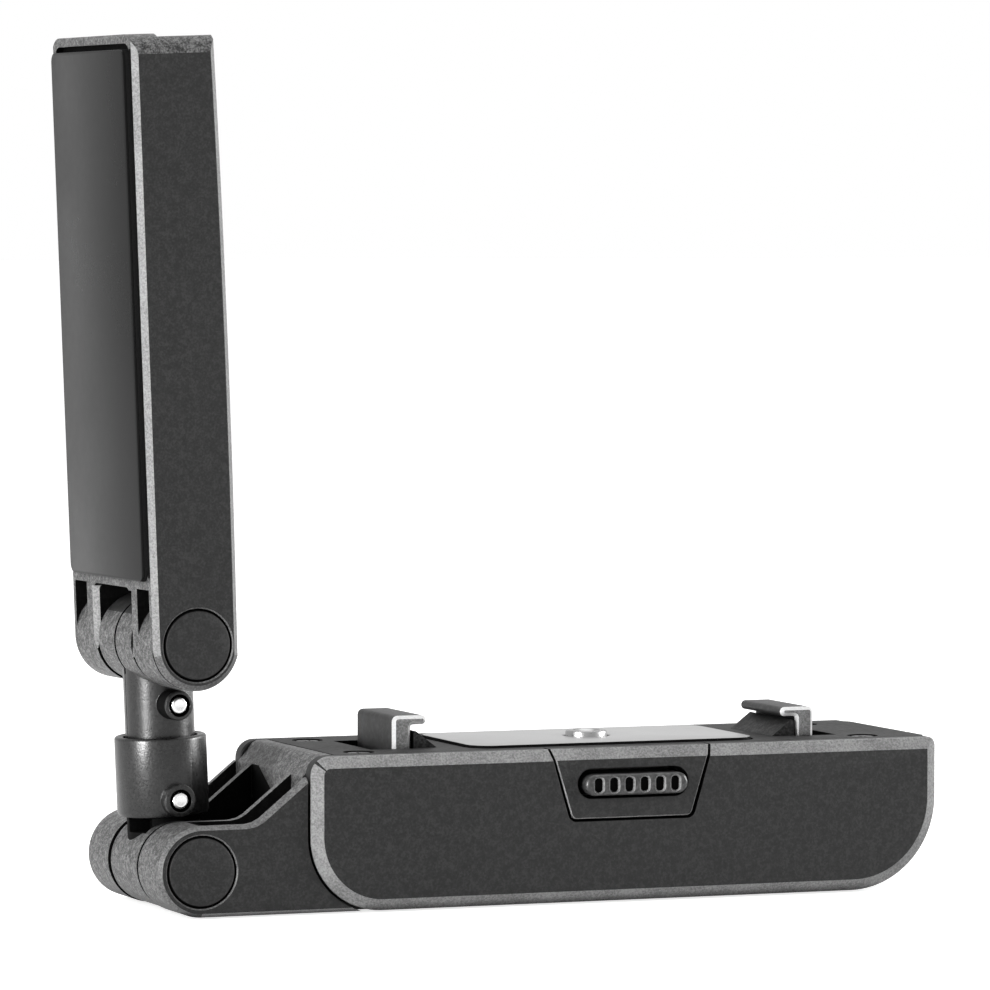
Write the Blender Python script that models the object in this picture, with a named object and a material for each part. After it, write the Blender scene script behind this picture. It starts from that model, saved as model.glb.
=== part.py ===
"""Folding bracket for an action camera.

A long base with two sprung claws holds the camera. A post on a hinge at the base's end can swivel,
and carries a second hinge with an arm whose broad face has an adhesive pad.

Lengths are in millimetres and become metres where a mesh is made. X runs along the base, from the
hinge towards the free end. Y runs from the front cover with the button towards the rear cover. Z is
up. The origin is the middle of the base's flat underside.
"""

import math

import bmesh
import bpy
from mathutils import Matrix, Vector

MM = 0.001

# Fits
GAP = 0.3
OVERCUT = 1.0
BITE = 0.1
LEAST_RADIUS = 0.15
MITRE_LIMIT = 0.3
ROUND_STEPS = 36
MIDDLE_STEPS = 24
SMALL_STEPS = 16
CORNER_STEPS = 8

# Base: covers and frame
COVER_LENGTH = 72.8
COVER_TOP = 16.55
COVER_LIFT = 0.2
COVER_THICKNESS = 2.2
COVER_PROUD = 0.75
COVER_BEVEL = 1.2
COVER_HINGE_END_RADIUS = 8.0
COVER_FREE_END_RADIUS = 10.0
COVER_TOP_RADIUS = 0.9
COVER_SHOULDER_RADIUS = 2.0
FRAME_DEPTH = 24.0
FRAME_WALL = 1.65
FRAME_FLOOR = 1.8
FRAME_END_WALL = 4.2
SHOULDER_RISE = 2.0
SHOULDER_RUN = 1.1
SHOULDER_RADIUS = 0.9
CAVITY_CORNER_RADIUS = 1.0

# Base: hinge lugs
HINGE_TO_COVER = 12.1
LUG_RADIUS = 4.8
LUG_FLAT = 5.9
LUG_WALL = 1.2
RIB_THICKNESS = 1.0
RIB_INNER = 5.75
BARREL_RADIUS = 4.72
EDGE_CHAMFER = 0.5
POCKET_FLOOR = 1.6
UNDERCUT_START_DEGREES = 10.0

# Base: deck and camera seat
DECK_DROP = 0.15
DECK_THICKNESS = 1.6
DECK_EDGE_FROM_COVER_END = 3.3
DECK_HINGE_END_RADIUS = 0.3
DECK_FREE_END_RADIUS = 1.0
PLATE_TO_CLAW = 6.0
PLATE_SIDE_MARGIN = 3.2
PLATE_RADIUS = 2.5
PLATE_THICKNESS = 0.8
PLATE_PROUD = 0.1
STUD_RADIUS = 2.3
STUD_SHANK_RADIUS = 1.6
STUD_PROUD = 0.6
STUD_EDGE = 0.2
STUD_DISH_RADIUS = 1.5
STUD_DISH_DEPTH = 0.4
SCREW_FROM_COVER_END = 6.9
SCREW_FROM_SIDE = 4.0
SCREW_HEAD_RADIUS = 1.4
SCREW_HEAD_HEIGHT = 0.8
SCREW_SHANK_RADIUS = 0.7
SCREW_LENGTH = 7.0
SCREW_BOSS_RADIUS = 1.7
SCREW_EDGE = 0.2
SCREW_SOCKET_RADIUS = 0.6
SCREW_SOCKET_FOOT_RADIUS = 0.35
SCREW_SOCKET_DEPTH = 0.45

# Claws
CLAW_FROM_COVER_END = 11.7
CLAW_DEPTH = 11.2
CLAW_WALL = 2.1
CLAW_LEFT_HEIGHT = 3.5
CLAW_RIGHT_HEIGHT = 3.15
CLAW_LIP_REACH = 1.8
CLAW_LIP_THICKNESS = 0.85
CLAW_EDGE = 0.5
CLAW_TIP_EDGE = 0.2
CLAW_TRAVEL = 2.0
CARRIAGE_HEIGHT = 2.0
CARRIAGE_OUTER = 1.6
RAMP_LENGTH = 2.6
RAMP_HEIGHT = 1.8
RAMP_TOE_HEIGHT = 0.02
RAIL_INNER = 3.6
RAIL_THICKNESS = 1.2
RAIL_FROM_COVER_END = 8.9

# Release button, its bezel and its wedge
BUTTON_X = 0.2
BUTTON_DROP = 3.8
BUTTON_WIDTH = 12.2
BUTTON_HEIGHT = 2.55
BUTTON_PROUD = 1.0
BUTTON_PITS = 6
BUTTON_PIT_PITCH = 1.7
BUTTON_PIT_WIDTH = 0.8
BUTTON_PIT_HEIGHT = 1.5
BUTTON_PIT_DEPTH = 0.4
BUTTON_FLANGE_MARGIN = 0.9
BUTTON_FLANGE_THICKNESS = 1.0
SLOT_MARGIN = 0.35
BEZEL_TOP_WIDTH = 19.2
BEZEL_BOTTOM_WIDTH = 14.4
BEZEL_HEIGHT = 7.55
BEZEL_RADIUS = 1.0
BEZEL_CORNER_DEGREES = 55.0
WEDGE_BACK_HALF_WIDTH = 9.0
WEDGE_TIP_HALF_WIDTH = 3.0
WEDGE_TIP_Y = 3.0
WEDGE_TIP_FLAT = 0.1

# Springs
SPRING_RADIUS = 0.8
SPRING_WIRE_RADIUS = 0.2
SPRING_TURNS = 5
SPRING_POINTS_PER_TURN = 8
SPRING_SIDES = 6

# Hinge hardware, the same at both hinges
CAP_RADIUS = 3.75
CAP_THICKNESS = 1.2
CAP_CHAMFER = 0.25
BOLT_RADIUS = 1.5
BOLT_HEAD_RADIUS = 3.0
BOLT_HEAD_HEIGHT = 1.8
BOLT_SOCKET_RADIUS = 1.3
BOLT_SOCKET_DEPTH = 1.0
NUT_ACROSS_CORNERS = 6.2
WASHER_THICKNESS = 0.5
WASHER_INSET = 0.1

# Post: socket, shaft and two post halves
POST_LEAN = math.radians(2.4)
SWIVEL_TURN = math.radians(2.8)
LOWER_KNUCKLE_WIDTH = 9.2
UPPER_KNUCKLE_WIDTH = 9.7
KNUCKLE_RADIUS = 4.7
SOCKET_COLUMN_RADIUS = 3.9
SLEEVE_RADIUS = 4.9
SLEEVE_BOTTOM = 5.1
SLEEVE_RIM = 0.8
SLEEVE_SPARE = 1.5
SPIGOT_DEPTH = 2.7
NECK_RADIUS = 3.7
SHAFT_RADIUS = 2.0
SHAFT_BOTTOM = 4.9
SHAFT_TO_BOLT = 2.45
SHAFT_GROOVE_RADIUS = 1.3
SHAFT_EDGE = 0.3
SWIVEL_WASHER_THICKNESS = 0.6
PIN_RADIUS = 0.9
PIN_FACE = 6.0
PIN_PROUD = 0.05
PIN_EDGE = 0.2
LOWER_BOSS_RADIUS = 1.75
LOWER_BOSS_LIFT = 0.15
UPPER_BOSS_RADIUS = 1.6
BOSS_TO_SLEEVE = 1.9
ARM_SWING_CLEARANCE = 0.3
PIN_END_DEPTH = 3.2
WINDOW_DEPTH = 1.6

# Arm and pad
ARM_EXTRA_LEAN = math.radians(-0.2)
ARM_DEPTH = 24.0
ARM_LENGTH = 64.0
ARM_PAD_SIDE = 4.8
ARM_OPEN_SIDE = 4.85
ARM_TOP_TAPER = 0.2
ARM_BOW = 0.3
ARM_BOW_STEPS = 6
ARM_END_RADIUS = 4.85
ARM_TOP_RADIUS = 2.4
ARM_EDGE = 0.6
ARM_WEB = 2.0
ARM_FLANGE = 1.2
ARM_RIB = 2.2
ARM_END_LIP = 3.2
ARM_END_LIP_HEIGHT = 1.4
CLEVIS_TOP = 6.0
CLEVIS_BRIDGE = 1.4
LUG_RING_STEP = 0.15
PAD_SIDE_MARGIN = 1.4
PAD_BOTTOM = 6.9
PAD_TOP_MARGIN = 1.0
PAD_RADIUS = 1.2
PAD_RECESS = 0.8
FOAM_THICKNESS = 0.6
FILM_THICKNESS = 0.2

# Sizes that follow from those above
COVER_LEFT = -COVER_LENGTH / 2
COVER_RIGHT = COVER_LENGTH / 2
HALF_DEPTH = FRAME_DEPTH / 2
COVER_FACE = HALF_DEPTH + COVER_PROUD
COVER_BACK = COVER_FACE - COVER_THICKNESS
WALL_FACE = COVER_BACK - GAP
CAVITY_HALF = WALL_FACE - FRAME_WALL
HINGE_X = COVER_LEFT - HINGE_TO_COVER
HINGE_Z = LUG_RADIUS
DECK_LEFT = COVER_LEFT + DECK_EDGE_FROM_COVER_END
DECK_TOP = COVER_TOP - DECK_DROP
FRAME_RIGHT = COVER_RIGHT - GAP
DECK_BOTTOM = DECK_TOP - DECK_THICKNESS
RIM_TOP = DECK_BOTTOM - GAP
CAVITY_LEFT = COVER_LEFT + FRAME_END_WALL
CAVITY_RIGHT = COVER_RIGHT - FRAME_END_WALL
CARRIAGE_TOP = RIM_TOP
CARRIAGE_BOTTOM = CARRIAGE_TOP - CARRIAGE_HEIGHT
RAIL_TOP = CARRIAGE_BOTTOM - GAP
CLAW_OUTER = COVER_RIGHT - CLAW_FROM_COVER_END
CLAW_INNER = CLAW_OUTER - CLAW_WALL
CARRIAGE_END = CLAW_OUTER + CARRIAGE_OUTER
PLATE_HALF_LENGTH = CLAW_INNER - PLATE_TO_CLAW
PLATE_HALF_DEPTH = HALF_DEPTH - PLATE_SIDE_MARGIN
SCREW_X = COVER_RIGHT - SCREW_FROM_COVER_END
SCREW_Y = HALF_DEPTH - SCREW_FROM_SIDE
RAIL_REACH = COVER_RIGHT - RAIL_FROM_COVER_END
BUTTON_Z = COVER_TOP - BUTTON_DROP
BEZEL_BOTTOM = COVER_TOP - BEZEL_HEIGHT
PAD_HALF_WIDTH = ARM_DEPTH / 2 - PAD_SIDE_MARGIN
PAD_TOP = ARM_LENGTH - PAD_TOP_MARGIN
PLATE_TOP = DECK_TOP + PLATE_PROUD
PLATE_BOTTOM = PLATE_TOP - PLATE_THICKNESS
LOWER_LUG_INNER = LOWER_KNUCKLE_WIDTH / 2 + GAP
UPPER_LUG_INNER = UPPER_KNUCKLE_WIDTH / 2 + GAP
HEAD_OUTER = CAP_THICKNESS + GAP
SEAT_DEPTH = HEAD_OUTER + BOLT_HEAD_HEIGHT + GAP + WASHER_THICKNESS + GAP
LOWER_PIN_HEIGHT = SLEEVE_BOTTOM + LOWER_BOSS_RADIUS + LOWER_BOSS_LIFT
SPIGOT_BOTTOM = LOWER_PIN_HEIGHT + PIN_RADIUS + 3 * GAP + SWIVEL_WASHER_THICKNESS + SLEEVE_SPARE
SLEEVE_TOP = SPIGOT_BOTTOM + SPIGOT_DEPTH
UPPER_PIN_HEIGHT = SLEEVE_TOP + BOSS_TO_SLEEVE + UPPER_BOSS_RADIUS
POST_LENGTH = UPPER_PIN_HEIGHT + UPPER_BOSS_RADIUS + ARM_SWING_CLEARANCE + ARM_END_RADIUS
SHAFT_TOP = POST_LENGTH - BOLT_RADIUS - SHAFT_TO_BOLT
WEDGE_BACK_Y = WEDGE_TIP_Y - (WEDGE_BACK_HALF_WIDTH - WEDGE_TIP_HALF_WIDTH)
BUTTON_FLANGE_BACK = -(CAVITY_HALF - GAP - BUTTON_FLANGE_THICKNESS)


def clear_scene():
    for thing in list(bpy.data.objects):
        bpy.data.objects.remove(thing, do_unlink=True)


def material(name, colour, roughness, metallic=0.0):
    found = bpy.data.materials.get(name)
    if found:
        return found
    made = bpy.data.materials.new(name)
    made.use_nodes = True
    shader = made.node_tree.nodes["Principled BSDF"]
    shader.inputs["Base Color"].default_value = (*colour, 1.0)
    shader.inputs["Roughness"].default_value = roughness
    shader.inputs["Metallic"].default_value = metallic
    made.diffuse_color = (*colour, 1.0)
    return made


def shell_plastic():
    return material("shell_plastic", (0.040, 0.040, 0.042), 0.55)


def cover_plastic():
    return material("cover_plastic", (0.032, 0.032, 0.034), 0.5)


def button_plastic():
    return material("button_plastic", (0.045, 0.045, 0.047), 0.4)


def bright_steel():
    return material("bright_steel", (0.70, 0.70, 0.70), 0.25, 1.0)


def brushed_plate():
    return material("brushed_plate", (0.62, 0.62, 0.62), 0.35, 1.0)


def spring_steel():
    return material("spring_steel", (0.55, 0.55, 0.56), 0.3, 1.0)


def nylon():
    return material("nylon", (0.75, 0.75, 0.72), 0.5)


def foam_black():
    return material("foam_black", (0.012, 0.012, 0.012), 0.8)


def film_grey():
    return material("film_grey", (0.10, 0.10, 0.105), 0.12)


def finish(name, mesh, look=None, parent=None, smooth=False):
    """Makes the object of a sub-part from its mesh."""
    thing = bpy.data.objects.new(name, mesh)
    bpy.context.scene.collection.objects.link(thing)
    if look:
        mesh.materials.append(look)
    if parent:
        thing.parent = parent
    if smooth:
        mesh.shade_smooth()
        mesh.set_sharp_from_angle(angle=math.radians(35.0))
    return thing


def mesh_of(bm, name):
    bmesh.ops.recalc_face_normals(bm, faces=bm.faces[:])
    mesh = bpy.data.meshes.new(name)
    bm.to_mesh(mesh)
    bm.free()
    return mesh


def axis_empty(name, location, parent=None, lean=0.0, turn=0.0):
    """An empty on a joint's axis; lean turns it about Y, towards -X, and turn about Z."""
    empty = bpy.data.objects.new(name, None)
    empty.location = Vector(location) * MM
    empty.rotation_euler = (0.0, -lean, turn)
    empty.parent = parent
    bpy.context.scene.collection.objects.link(empty)
    return empty


def loft(rings, capped=True):
    """A closed body through rings of points that have the same count; uncapped, the last meets the first."""
    bm = bmesh.new()
    loops = [[bm.verts.new(Vector(point) * MM) for point in ring] for ring in rings]
    count = len(loops[0])
    pairs = list(zip(loops, loops[1:]))
    if not capped:
        pairs.append((loops[-1], loops[0]))
    for low, high in pairs:
        for i in range(count):
            j = (i + 1) % count
            bm.faces.new((low[i], low[j], high[j], high[i]))
    if capped:
        bm.faces.new(loops[0])
        bm.faces.new(loops[-1])
    return bm


def prism_y(outline, y0, y1):
    """An XZ outline extruded along Y."""
    return loft([[(x, y, z) for x, z in outline] for y in (y0, y1)])


def prism_z(outline, z0, z1):
    """An XY outline extruded along Z."""
    return loft([[(x, y, z) for x, y in outline] for z in (z0, z1)])


def prism_x(outline, x0, x1):
    """A YZ outline extruded along X."""
    return loft([[(x, y, z) for y, z in outline] for x in (x0, x1)])


def block(x0, x1, y0, y1, z0, z1):
    return prism_z([(x0, y0), (x1, y0), (x1, y1), (x0, y1)], z0, z1)


def turned(profile, steps=ROUND_STEPS):
    """A body turned about Z from (radius, height) points, with flat ends where it meets the axis."""
    on_axis = profile[0][0] == 0
    points = profile[1:-1] if on_axis else profile
    angles = [math.tau * (i + 0.5) / steps for i in range(steps)]
    rings = [[(r * math.cos(a), r * math.sin(a), h) for a in angles] for r, h in points]
    return loft(rings, capped=on_axis)


def along_y(bm, x=0.0, z=0.0):
    """Lays a body turned about Z along Y: its height h goes to y = h."""
    turn = Matrix.Translation(Vector((x, 0.0, z)) * MM) @ Matrix.Rotation(-math.pi / 2, 4, "X")
    bmesh.ops.transform(bm, matrix=turn, verts=bm.verts[:])
    return bm


def moved(bm, x=0.0, y=0.0, z=0.0):
    bmesh.ops.translate(bm, vec=Vector((x, y, z)) * MM, verts=bm.verts[:])
    return bm


def chamfered_y(outline, half, edge):
    """An XZ outline through Y, its front and rear edges chamfered."""
    inner = inset_outline(outline, edge)
    levels = ((-half, inner), (edge - half, outline), (half - edge, outline), (half, inner))
    return loft([[(x, y, z) for x, z in points] for y, points in levels])


def rod_y(radius, y0, y1, x=0.0, z=0.0, steps=ROUND_STEPS):
    return along_y(turned([(0, y0), (radius, y0), (radius, y1), (0, y1)], steps), x, z)


def rod_z(radius, z0, z1, x=0.0, y=0.0, steps=ROUND_STEPS):
    return moved(turned([(0, z0), (radius, z0), (radius, z1), (0, z1)], steps), x, y)


def arc(x, z, radius, start, end, steps):
    """Points of an arc about (x, z), from the start to the end angle in degrees."""
    angles = [math.radians(start + (end - start) * i / steps) for i in range(steps + 1)]
    return [(x + radius * math.cos(a), z + radius * math.sin(a)) for a in angles]


def rounded_box(x0, x1, z0, z1, radii, inset=0.0, steps=(6, 6, 2, 2)):
    """Outline with its own radius at each corner: low left, low right, top right, top left."""
    x0, x1, z0, z1 = x0 + inset, x1 - inset, z0 + inset, z1 - inset
    low_left, low_right, top_right, top_left = [max(radius - inset, LEAST_RADIUS) for radius in radii]
    points = arc(x0 + low_left, z0 + low_left, low_left, 180, 270, steps[0])
    points += arc(x1 - low_right, z0 + low_right, low_right, 270, 360, steps[1])
    points += arc(x1 - top_right, z1 - top_right, top_right, 0, 90, steps[2])
    points += arc(x0 + top_left, z1 - top_left, top_left, 90, 180, steps[3])
    return points


def racetrack(x, z, width, height, steps=CORNER_STEPS):
    radius = height / 2
    half = width / 2 - radius
    return arc(x + half, z, radius, -90, 90, steps) + arc(x - half, z, radius, 90, 270, steps)


def inset_outline(points, distance):
    """The outline moved inwards by a distance, with mitred corners; points run anticlockwise or clockwise."""
    count = len(points)
    area = sum(points[i - 1][0] * points[i][1] - points[i][0] * points[i - 1][1] for i in range(count))
    turn = 1.0 if area > 0 else -1.0
    moved_points = []
    for i in range(count):
        here = Vector(points[i])
        before = (here - Vector(points[i - 1])).normalized()
        after = (Vector(points[(i + 1) % count]) - here).normalized()
        normal = Vector((-before.y - after.y, before.x + after.x)).normalized() * turn
        reach = distance / max(MITRE_LIMIT, normal.dot(Vector((-before.y, before.x)) * turn))
        moved_points.append(tuple(here + normal * reach))
    return moved_points


def combine(target, bm, operation):
    """Applies a Boolean with the body in bm to the target's mesh."""
    helper = finish("helper", mesh_of(bm, "helper"))
    helper.parent = target.parent
    modifier = target.modifiers.new("combine", "BOOLEAN")
    modifier.object = helper
    modifier.operation = operation
    modifier.solver = "EXACT"
    graph = bpy.context.evaluated_depsgraph_get()
    result = bpy.data.meshes.new_from_object(target.evaluated_get(graph))
    target.modifiers.clear()
    old = target.data
    name = old.name
    target.data = result
    bpy.data.meshes.remove(old)
    result.name = name
    leftover = helper.data
    bpy.data.objects.remove(helper, do_unlink=True)
    bpy.data.meshes.remove(leftover)


def cut(target, *bodies):
    for bm in bodies:
        combine(target, bm, "DIFFERENCE")


def add(target, *bodies):
    for bm in bodies:
        combine(target, bm, "UNION")


def smooth(target):
    target.data.shade_smooth()
    target.data.set_sharp_from_angle(angle=math.radians(35.0))


def cover_outline(inset=0.0):
    radii = (COVER_HINGE_END_RADIUS, COVER_FREE_END_RADIUS, COVER_TOP_RADIUS, COVER_SHOULDER_RADIUS)
    return rounded_box(COVER_LEFT, COVER_RIGHT, COVER_LIFT, COVER_TOP, radii, inset,
                       (CORNER_STEPS, CORNER_STEPS, 2, 4))


def cover_body(side):
    """A cover plate with a bevelled rim; side is -1 at the front and 1 at the rear."""
    levels = ((COVER_BACK, 0.0), (HALF_DEPTH, 0.0), (COVER_FACE, COVER_BEVEL))
    return loft([[(x, side * y, z) for x, z in cover_outline(inset)] for y, inset in levels])


def frame_outline():
    points = arc(HINGE_X, HINGE_Z, LUG_RADIUS, 270, 90, ROUND_STEPS // 2)
    slope_top = DECK_TOP - SHOULDER_RISE
    points.append((HINGE_X + LUG_FLAT, 2 * LUG_RADIUS))
    points.append((COVER_LEFT - GAP / 3, slope_top))
    crest = COVER_LEFT + SHOULDER_RUN
    points.append((crest - SHOULDER_RADIUS / 4, DECK_TOP - SHOULDER_RADIUS))
    points.append((crest + SHOULDER_RADIUS / 4, DECK_TOP - SHOULDER_RADIUS / 4))
    points.append((crest + SHOULDER_RADIUS, DECK_TOP))
    points.append((DECK_LEFT - GAP, DECK_TOP))
    points.append((DECK_LEFT - GAP, RIM_TOP))
    points.append((FRAME_RIGHT, RIM_TOP))
    radius = COVER_FREE_END_RADIUS
    points += arc(FRAME_RIGHT - radius, radius, radius, 0, -90, CORNER_STEPS)
    return points


def cavity_outline():
    radius = COVER_FREE_END_RADIUS - FRAME_END_WALL
    return rounded_box(CAVITY_LEFT, CAVITY_RIGHT, FRAME_FLOOR, DECK_TOP + OVERCUT,
                       (CAVITY_CORNER_RADIUS, radius, CAVITY_CORNER_RADIUS, CAVITY_CORNER_RADIUS), 0.0, (2, 6, 1, 1))


def screw_places():
    return [(x, y) for x in (-SCREW_X, SCREW_X) for y in (-SCREW_Y, SCREW_Y)]


def hinge_bores(half_depth, x=0.0, z=0.0):
    """Bodies that cut the bolt's bore, the head and nut seats and the cap seats."""
    out = half_depth + OVERCUT
    seat = half_depth - SEAT_DEPTH
    cap_floor = half_depth - CAP_THICKNESS - GAP
    bodies = [rod_y(BOLT_RADIUS + GAP, -out, out, x, z, SMALL_STEPS)]
    for side in (-1, 1):
        for radius, inner in ((BOLT_HEAD_RADIUS + GAP, seat), (CAP_RADIUS + GAP, cap_floor)):
            ends = sorted((side * inner, side * out))
            bodies.append(rod_y(radius, ends[0], ends[1], x, z))
    return bodies


def lug_pocket(y0, y1):
    """Space beside a rib, from the barrel to the shoulder, above the floor."""
    down = math.degrees(math.asin((HINGE_Z - POCKET_FLOOR) / BARREL_RADIUS))
    outline = arc(HINGE_X, HINGE_Z, BARREL_RADIUS, 90, -down, SMALL_STEPS)
    outline += [(COVER_LEFT - GAP, POCKET_FLOOR), (COVER_LEFT - GAP, COVER_TOP), (HINGE_X, COVER_TOP)]
    return prism_y(outline, y0, y1)


def swing_space():
    """Spaces in the middle of the lugs for the socket's knuckle and sleeve."""
    lug_end = HINGE_X - LUG_RADIUS - OVERCUT
    floor_start = HINGE_X + KNUCKLE_RADIUS + 2 * GAP
    inner = LOWER_LUG_INNER
    under = arc(HINGE_X, HINGE_Z, BARREL_RADIUS, -UNDERCUT_START_DEGREES, -90, CORNER_STEPS)
    under += [(HINGE_X, -OVERCUT), (floor_start, -OVERCUT), (floor_start, under[0][1])]
    return [block(lug_end, COVER_LEFT - GAP, -inner, inner, POCKET_FLOOR, COVER_TOP),
            block(lug_end, floor_start, -inner, inner, -OVERCUT, POCKET_FLOOR + OVERCUT),
            lug_pocket(-RIB_INNER, RIB_INNER),
            prism_y(under, -RIB_INNER, RIB_INNER)]


def base_frame():
    solid = chamfered_y(frame_outline(), HALF_DEPTH, EDGE_CHAMFER)
    body = finish("base_frame", mesh_of(solid, "base_frame"), shell_plastic())
    for side in (-1, 1):
        ends = sorted((side * WALL_FACE, side * (HALF_DEPTH + OVERCUT)))
        cut(body, prism_y(cover_outline(-GAP), *ends))
    cut(body, prism_y(cavity_outline(), -CAVITY_HALF, CAVITY_HALF))
    cut(body, *swing_space())
    for side in (-1, 1):
        ends = sorted((side * (RIB_INNER + RIB_THICKNESS), side * (HALF_DEPTH - LUG_WALL)))
        cut(body, lug_pocket(*ends))
    cut(body, *hinge_bores(HALF_DEPTH, HINGE_X, HINGE_Z))
    for x, y in screw_places():
        add(body, rod_z(SCREW_BOSS_RADIUS, FRAME_FLOOR - BITE, RIM_TOP - BITE, x, y, SMALL_STEPS))
        cut(body, rod_z(SCREW_SHANK_RADIUS + GAP, RIM_TOP - SCREW_LENGTH, RIM_TOP + OVERCUT, x, y, SMALL_STEPS))
    for side in (-1, 1):
        ends = sorted((side * RAIL_INNER, side * (RAIL_INNER + RAIL_THICKNESS)))
        add(body, block(-RAIL_REACH, RAIL_REACH, *ends, FRAME_FLOOR - BITE, RAIL_TOP))
    opening = racetrack(BUTTON_X, BUTTON_Z, BUTTON_WIDTH + 2 * SLOT_MARGIN, BUTTON_HEIGHT + 2 * SLOT_MARGIN)
    cut(body, prism_y(opening, -WALL_FACE - OVERCUT, -CAVITY_HALF + OVERCUT))
    return body


def bezel_outline(margin=0.0, top=COVER_TOP):
    """The bezel's outline, grown by a margin; its top edge is given."""
    half_top = BEZEL_TOP_WIDTH / 2 + margin
    half_bottom = BEZEL_BOTTOM_WIDTH / 2 + margin
    bottom = BEZEL_BOTTOM - margin
    lean = (half_top - half_bottom) / (COVER_TOP - bottom)
    reach = half_bottom + lean * (top - bottom)
    radius = BEZEL_RADIUS + margin
    side = half_bottom + lean * radius
    points = [(BUTTON_X + reach, top), (BUTTON_X - reach, top), (BUTTON_X - side, bottom + radius)]
    turn = BEZEL_CORNER_DEGREES
    points += arc(BUTTON_X - half_bottom + radius, bottom + radius, radius, 270 - turn, 270, 3)
    points += arc(BUTTON_X + half_bottom - radius, bottom + radius, radius, 270, 270 + turn, 3)
    points.append((BUTTON_X + side, bottom + radius))
    return points


def top_bevel_cutter(x0, x1):
    """Takes the covers' bevel off a front piece's top edge."""
    edge = [(-COVER_FACE, COVER_TOP - COVER_BEVEL), (-HALF_DEPTH, COVER_TOP),
            (-HALF_DEPTH, COVER_TOP + OVERCUT), (-COVER_FACE - OVERCUT, COVER_TOP + OVERCUT),
            (-COVER_FACE - OVERCUT, COVER_TOP - COVER_BEVEL)]
    return prism_x(edge, x0, x1)


def front_cover():
    body = finish("front_cover", mesh_of(cover_body(-1), "front_cover"), cover_plastic())
    window = bezel_outline(GAP, COVER_TOP + OVERCUT)
    cut(body, prism_y(window, -COVER_FACE - OVERCUT, -COVER_BACK + OVERCUT))
    return body


def rear_cover():
    return finish("rear_cover", mesh_of(cover_body(1), "rear_cover"), cover_plastic())


def button_bezel():
    body = finish("button_bezel", mesh_of(prism_y(bezel_outline(), -COVER_FACE, -COVER_BACK), "button_bezel"),
                  cover_plastic())
    cut(body, top_bevel_cutter(BUTTON_X - BEZEL_TOP_WIDTH, BUTTON_X + BEZEL_TOP_WIDTH))
    slot = racetrack(BUTTON_X, BUTTON_Z, BUTTON_WIDTH + 2 * SLOT_MARGIN, BUTTON_HEIGHT + 2 * SLOT_MARGIN)
    cut(body, prism_y(slot, -COVER_FACE - OVERCUT, -COVER_BACK + OVERCUT))
    return body


def release_button(parent):
    track = racetrack(BUTTON_X, BUTTON_Z, BUTTON_WIDTH, BUTTON_HEIGHT)
    flange_front = -(CAVITY_HALF - GAP)
    body = finish("release_button",
                  mesh_of(prism_y(track, -COVER_FACE - BUTTON_PROUD, flange_front + GAP), "release_button"),
                  button_plastic(), parent)
    margin = SLOT_MARGIN + BUTTON_FLANGE_MARGIN
    reach = BUTTON_WIDTH / 2 + margin
    add(body, block(BUTTON_X - reach, BUTTON_X + reach, flange_front, BUTTON_FLANGE_BACK,
                    BUTTON_Z - BUTTON_HEIGHT / 2 - margin, CARRIAGE_TOP))
    first = BUTTON_X - (BUTTON_PITS - 1) * BUTTON_PIT_PITCH / 2
    for i in range(BUTTON_PITS):
        x = first + i * BUTTON_PIT_PITCH
        cut(body, block(x - BUTTON_PIT_WIDTH / 2, x + BUTTON_PIT_WIDTH / 2,
                        -COVER_FACE - BUTTON_PROUD - OVERCUT, -COVER_FACE - BUTTON_PROUD + BUTTON_PIT_DEPTH,
                        BUTTON_Z - BUTTON_PIT_HEIGHT / 2, BUTTON_Z + BUTTON_PIT_HEIGHT / 2))
    return body


def wedge_outline(aside=0.0, back=BUTTON_FLANGE_BACK + GAP, tip=WEDGE_TIP_Y):
    """Wedge in the XY plane; its 45 degree flanks drive the claws outwards as it moves to +Y."""
    wide, narrow = WEDGE_BACK_HALF_WIDTH + aside, WEDGE_TIP_HALF_WIDTH + aside
    right = [(wide, back), (wide, WEDGE_BACK_Y), (narrow, WEDGE_TIP_Y), (narrow, tip + WEDGE_TIP_FLAT)]
    return right + [(-x, y) for x, y in reversed(right)]


def release_wedge(parent):
    return finish("release_wedge",
                  mesh_of(prism_z(wedge_outline(), CARRIAGE_BOTTOM, CARRIAGE_TOP), "release_wedge"),
                  nylon(), parent)


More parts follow.
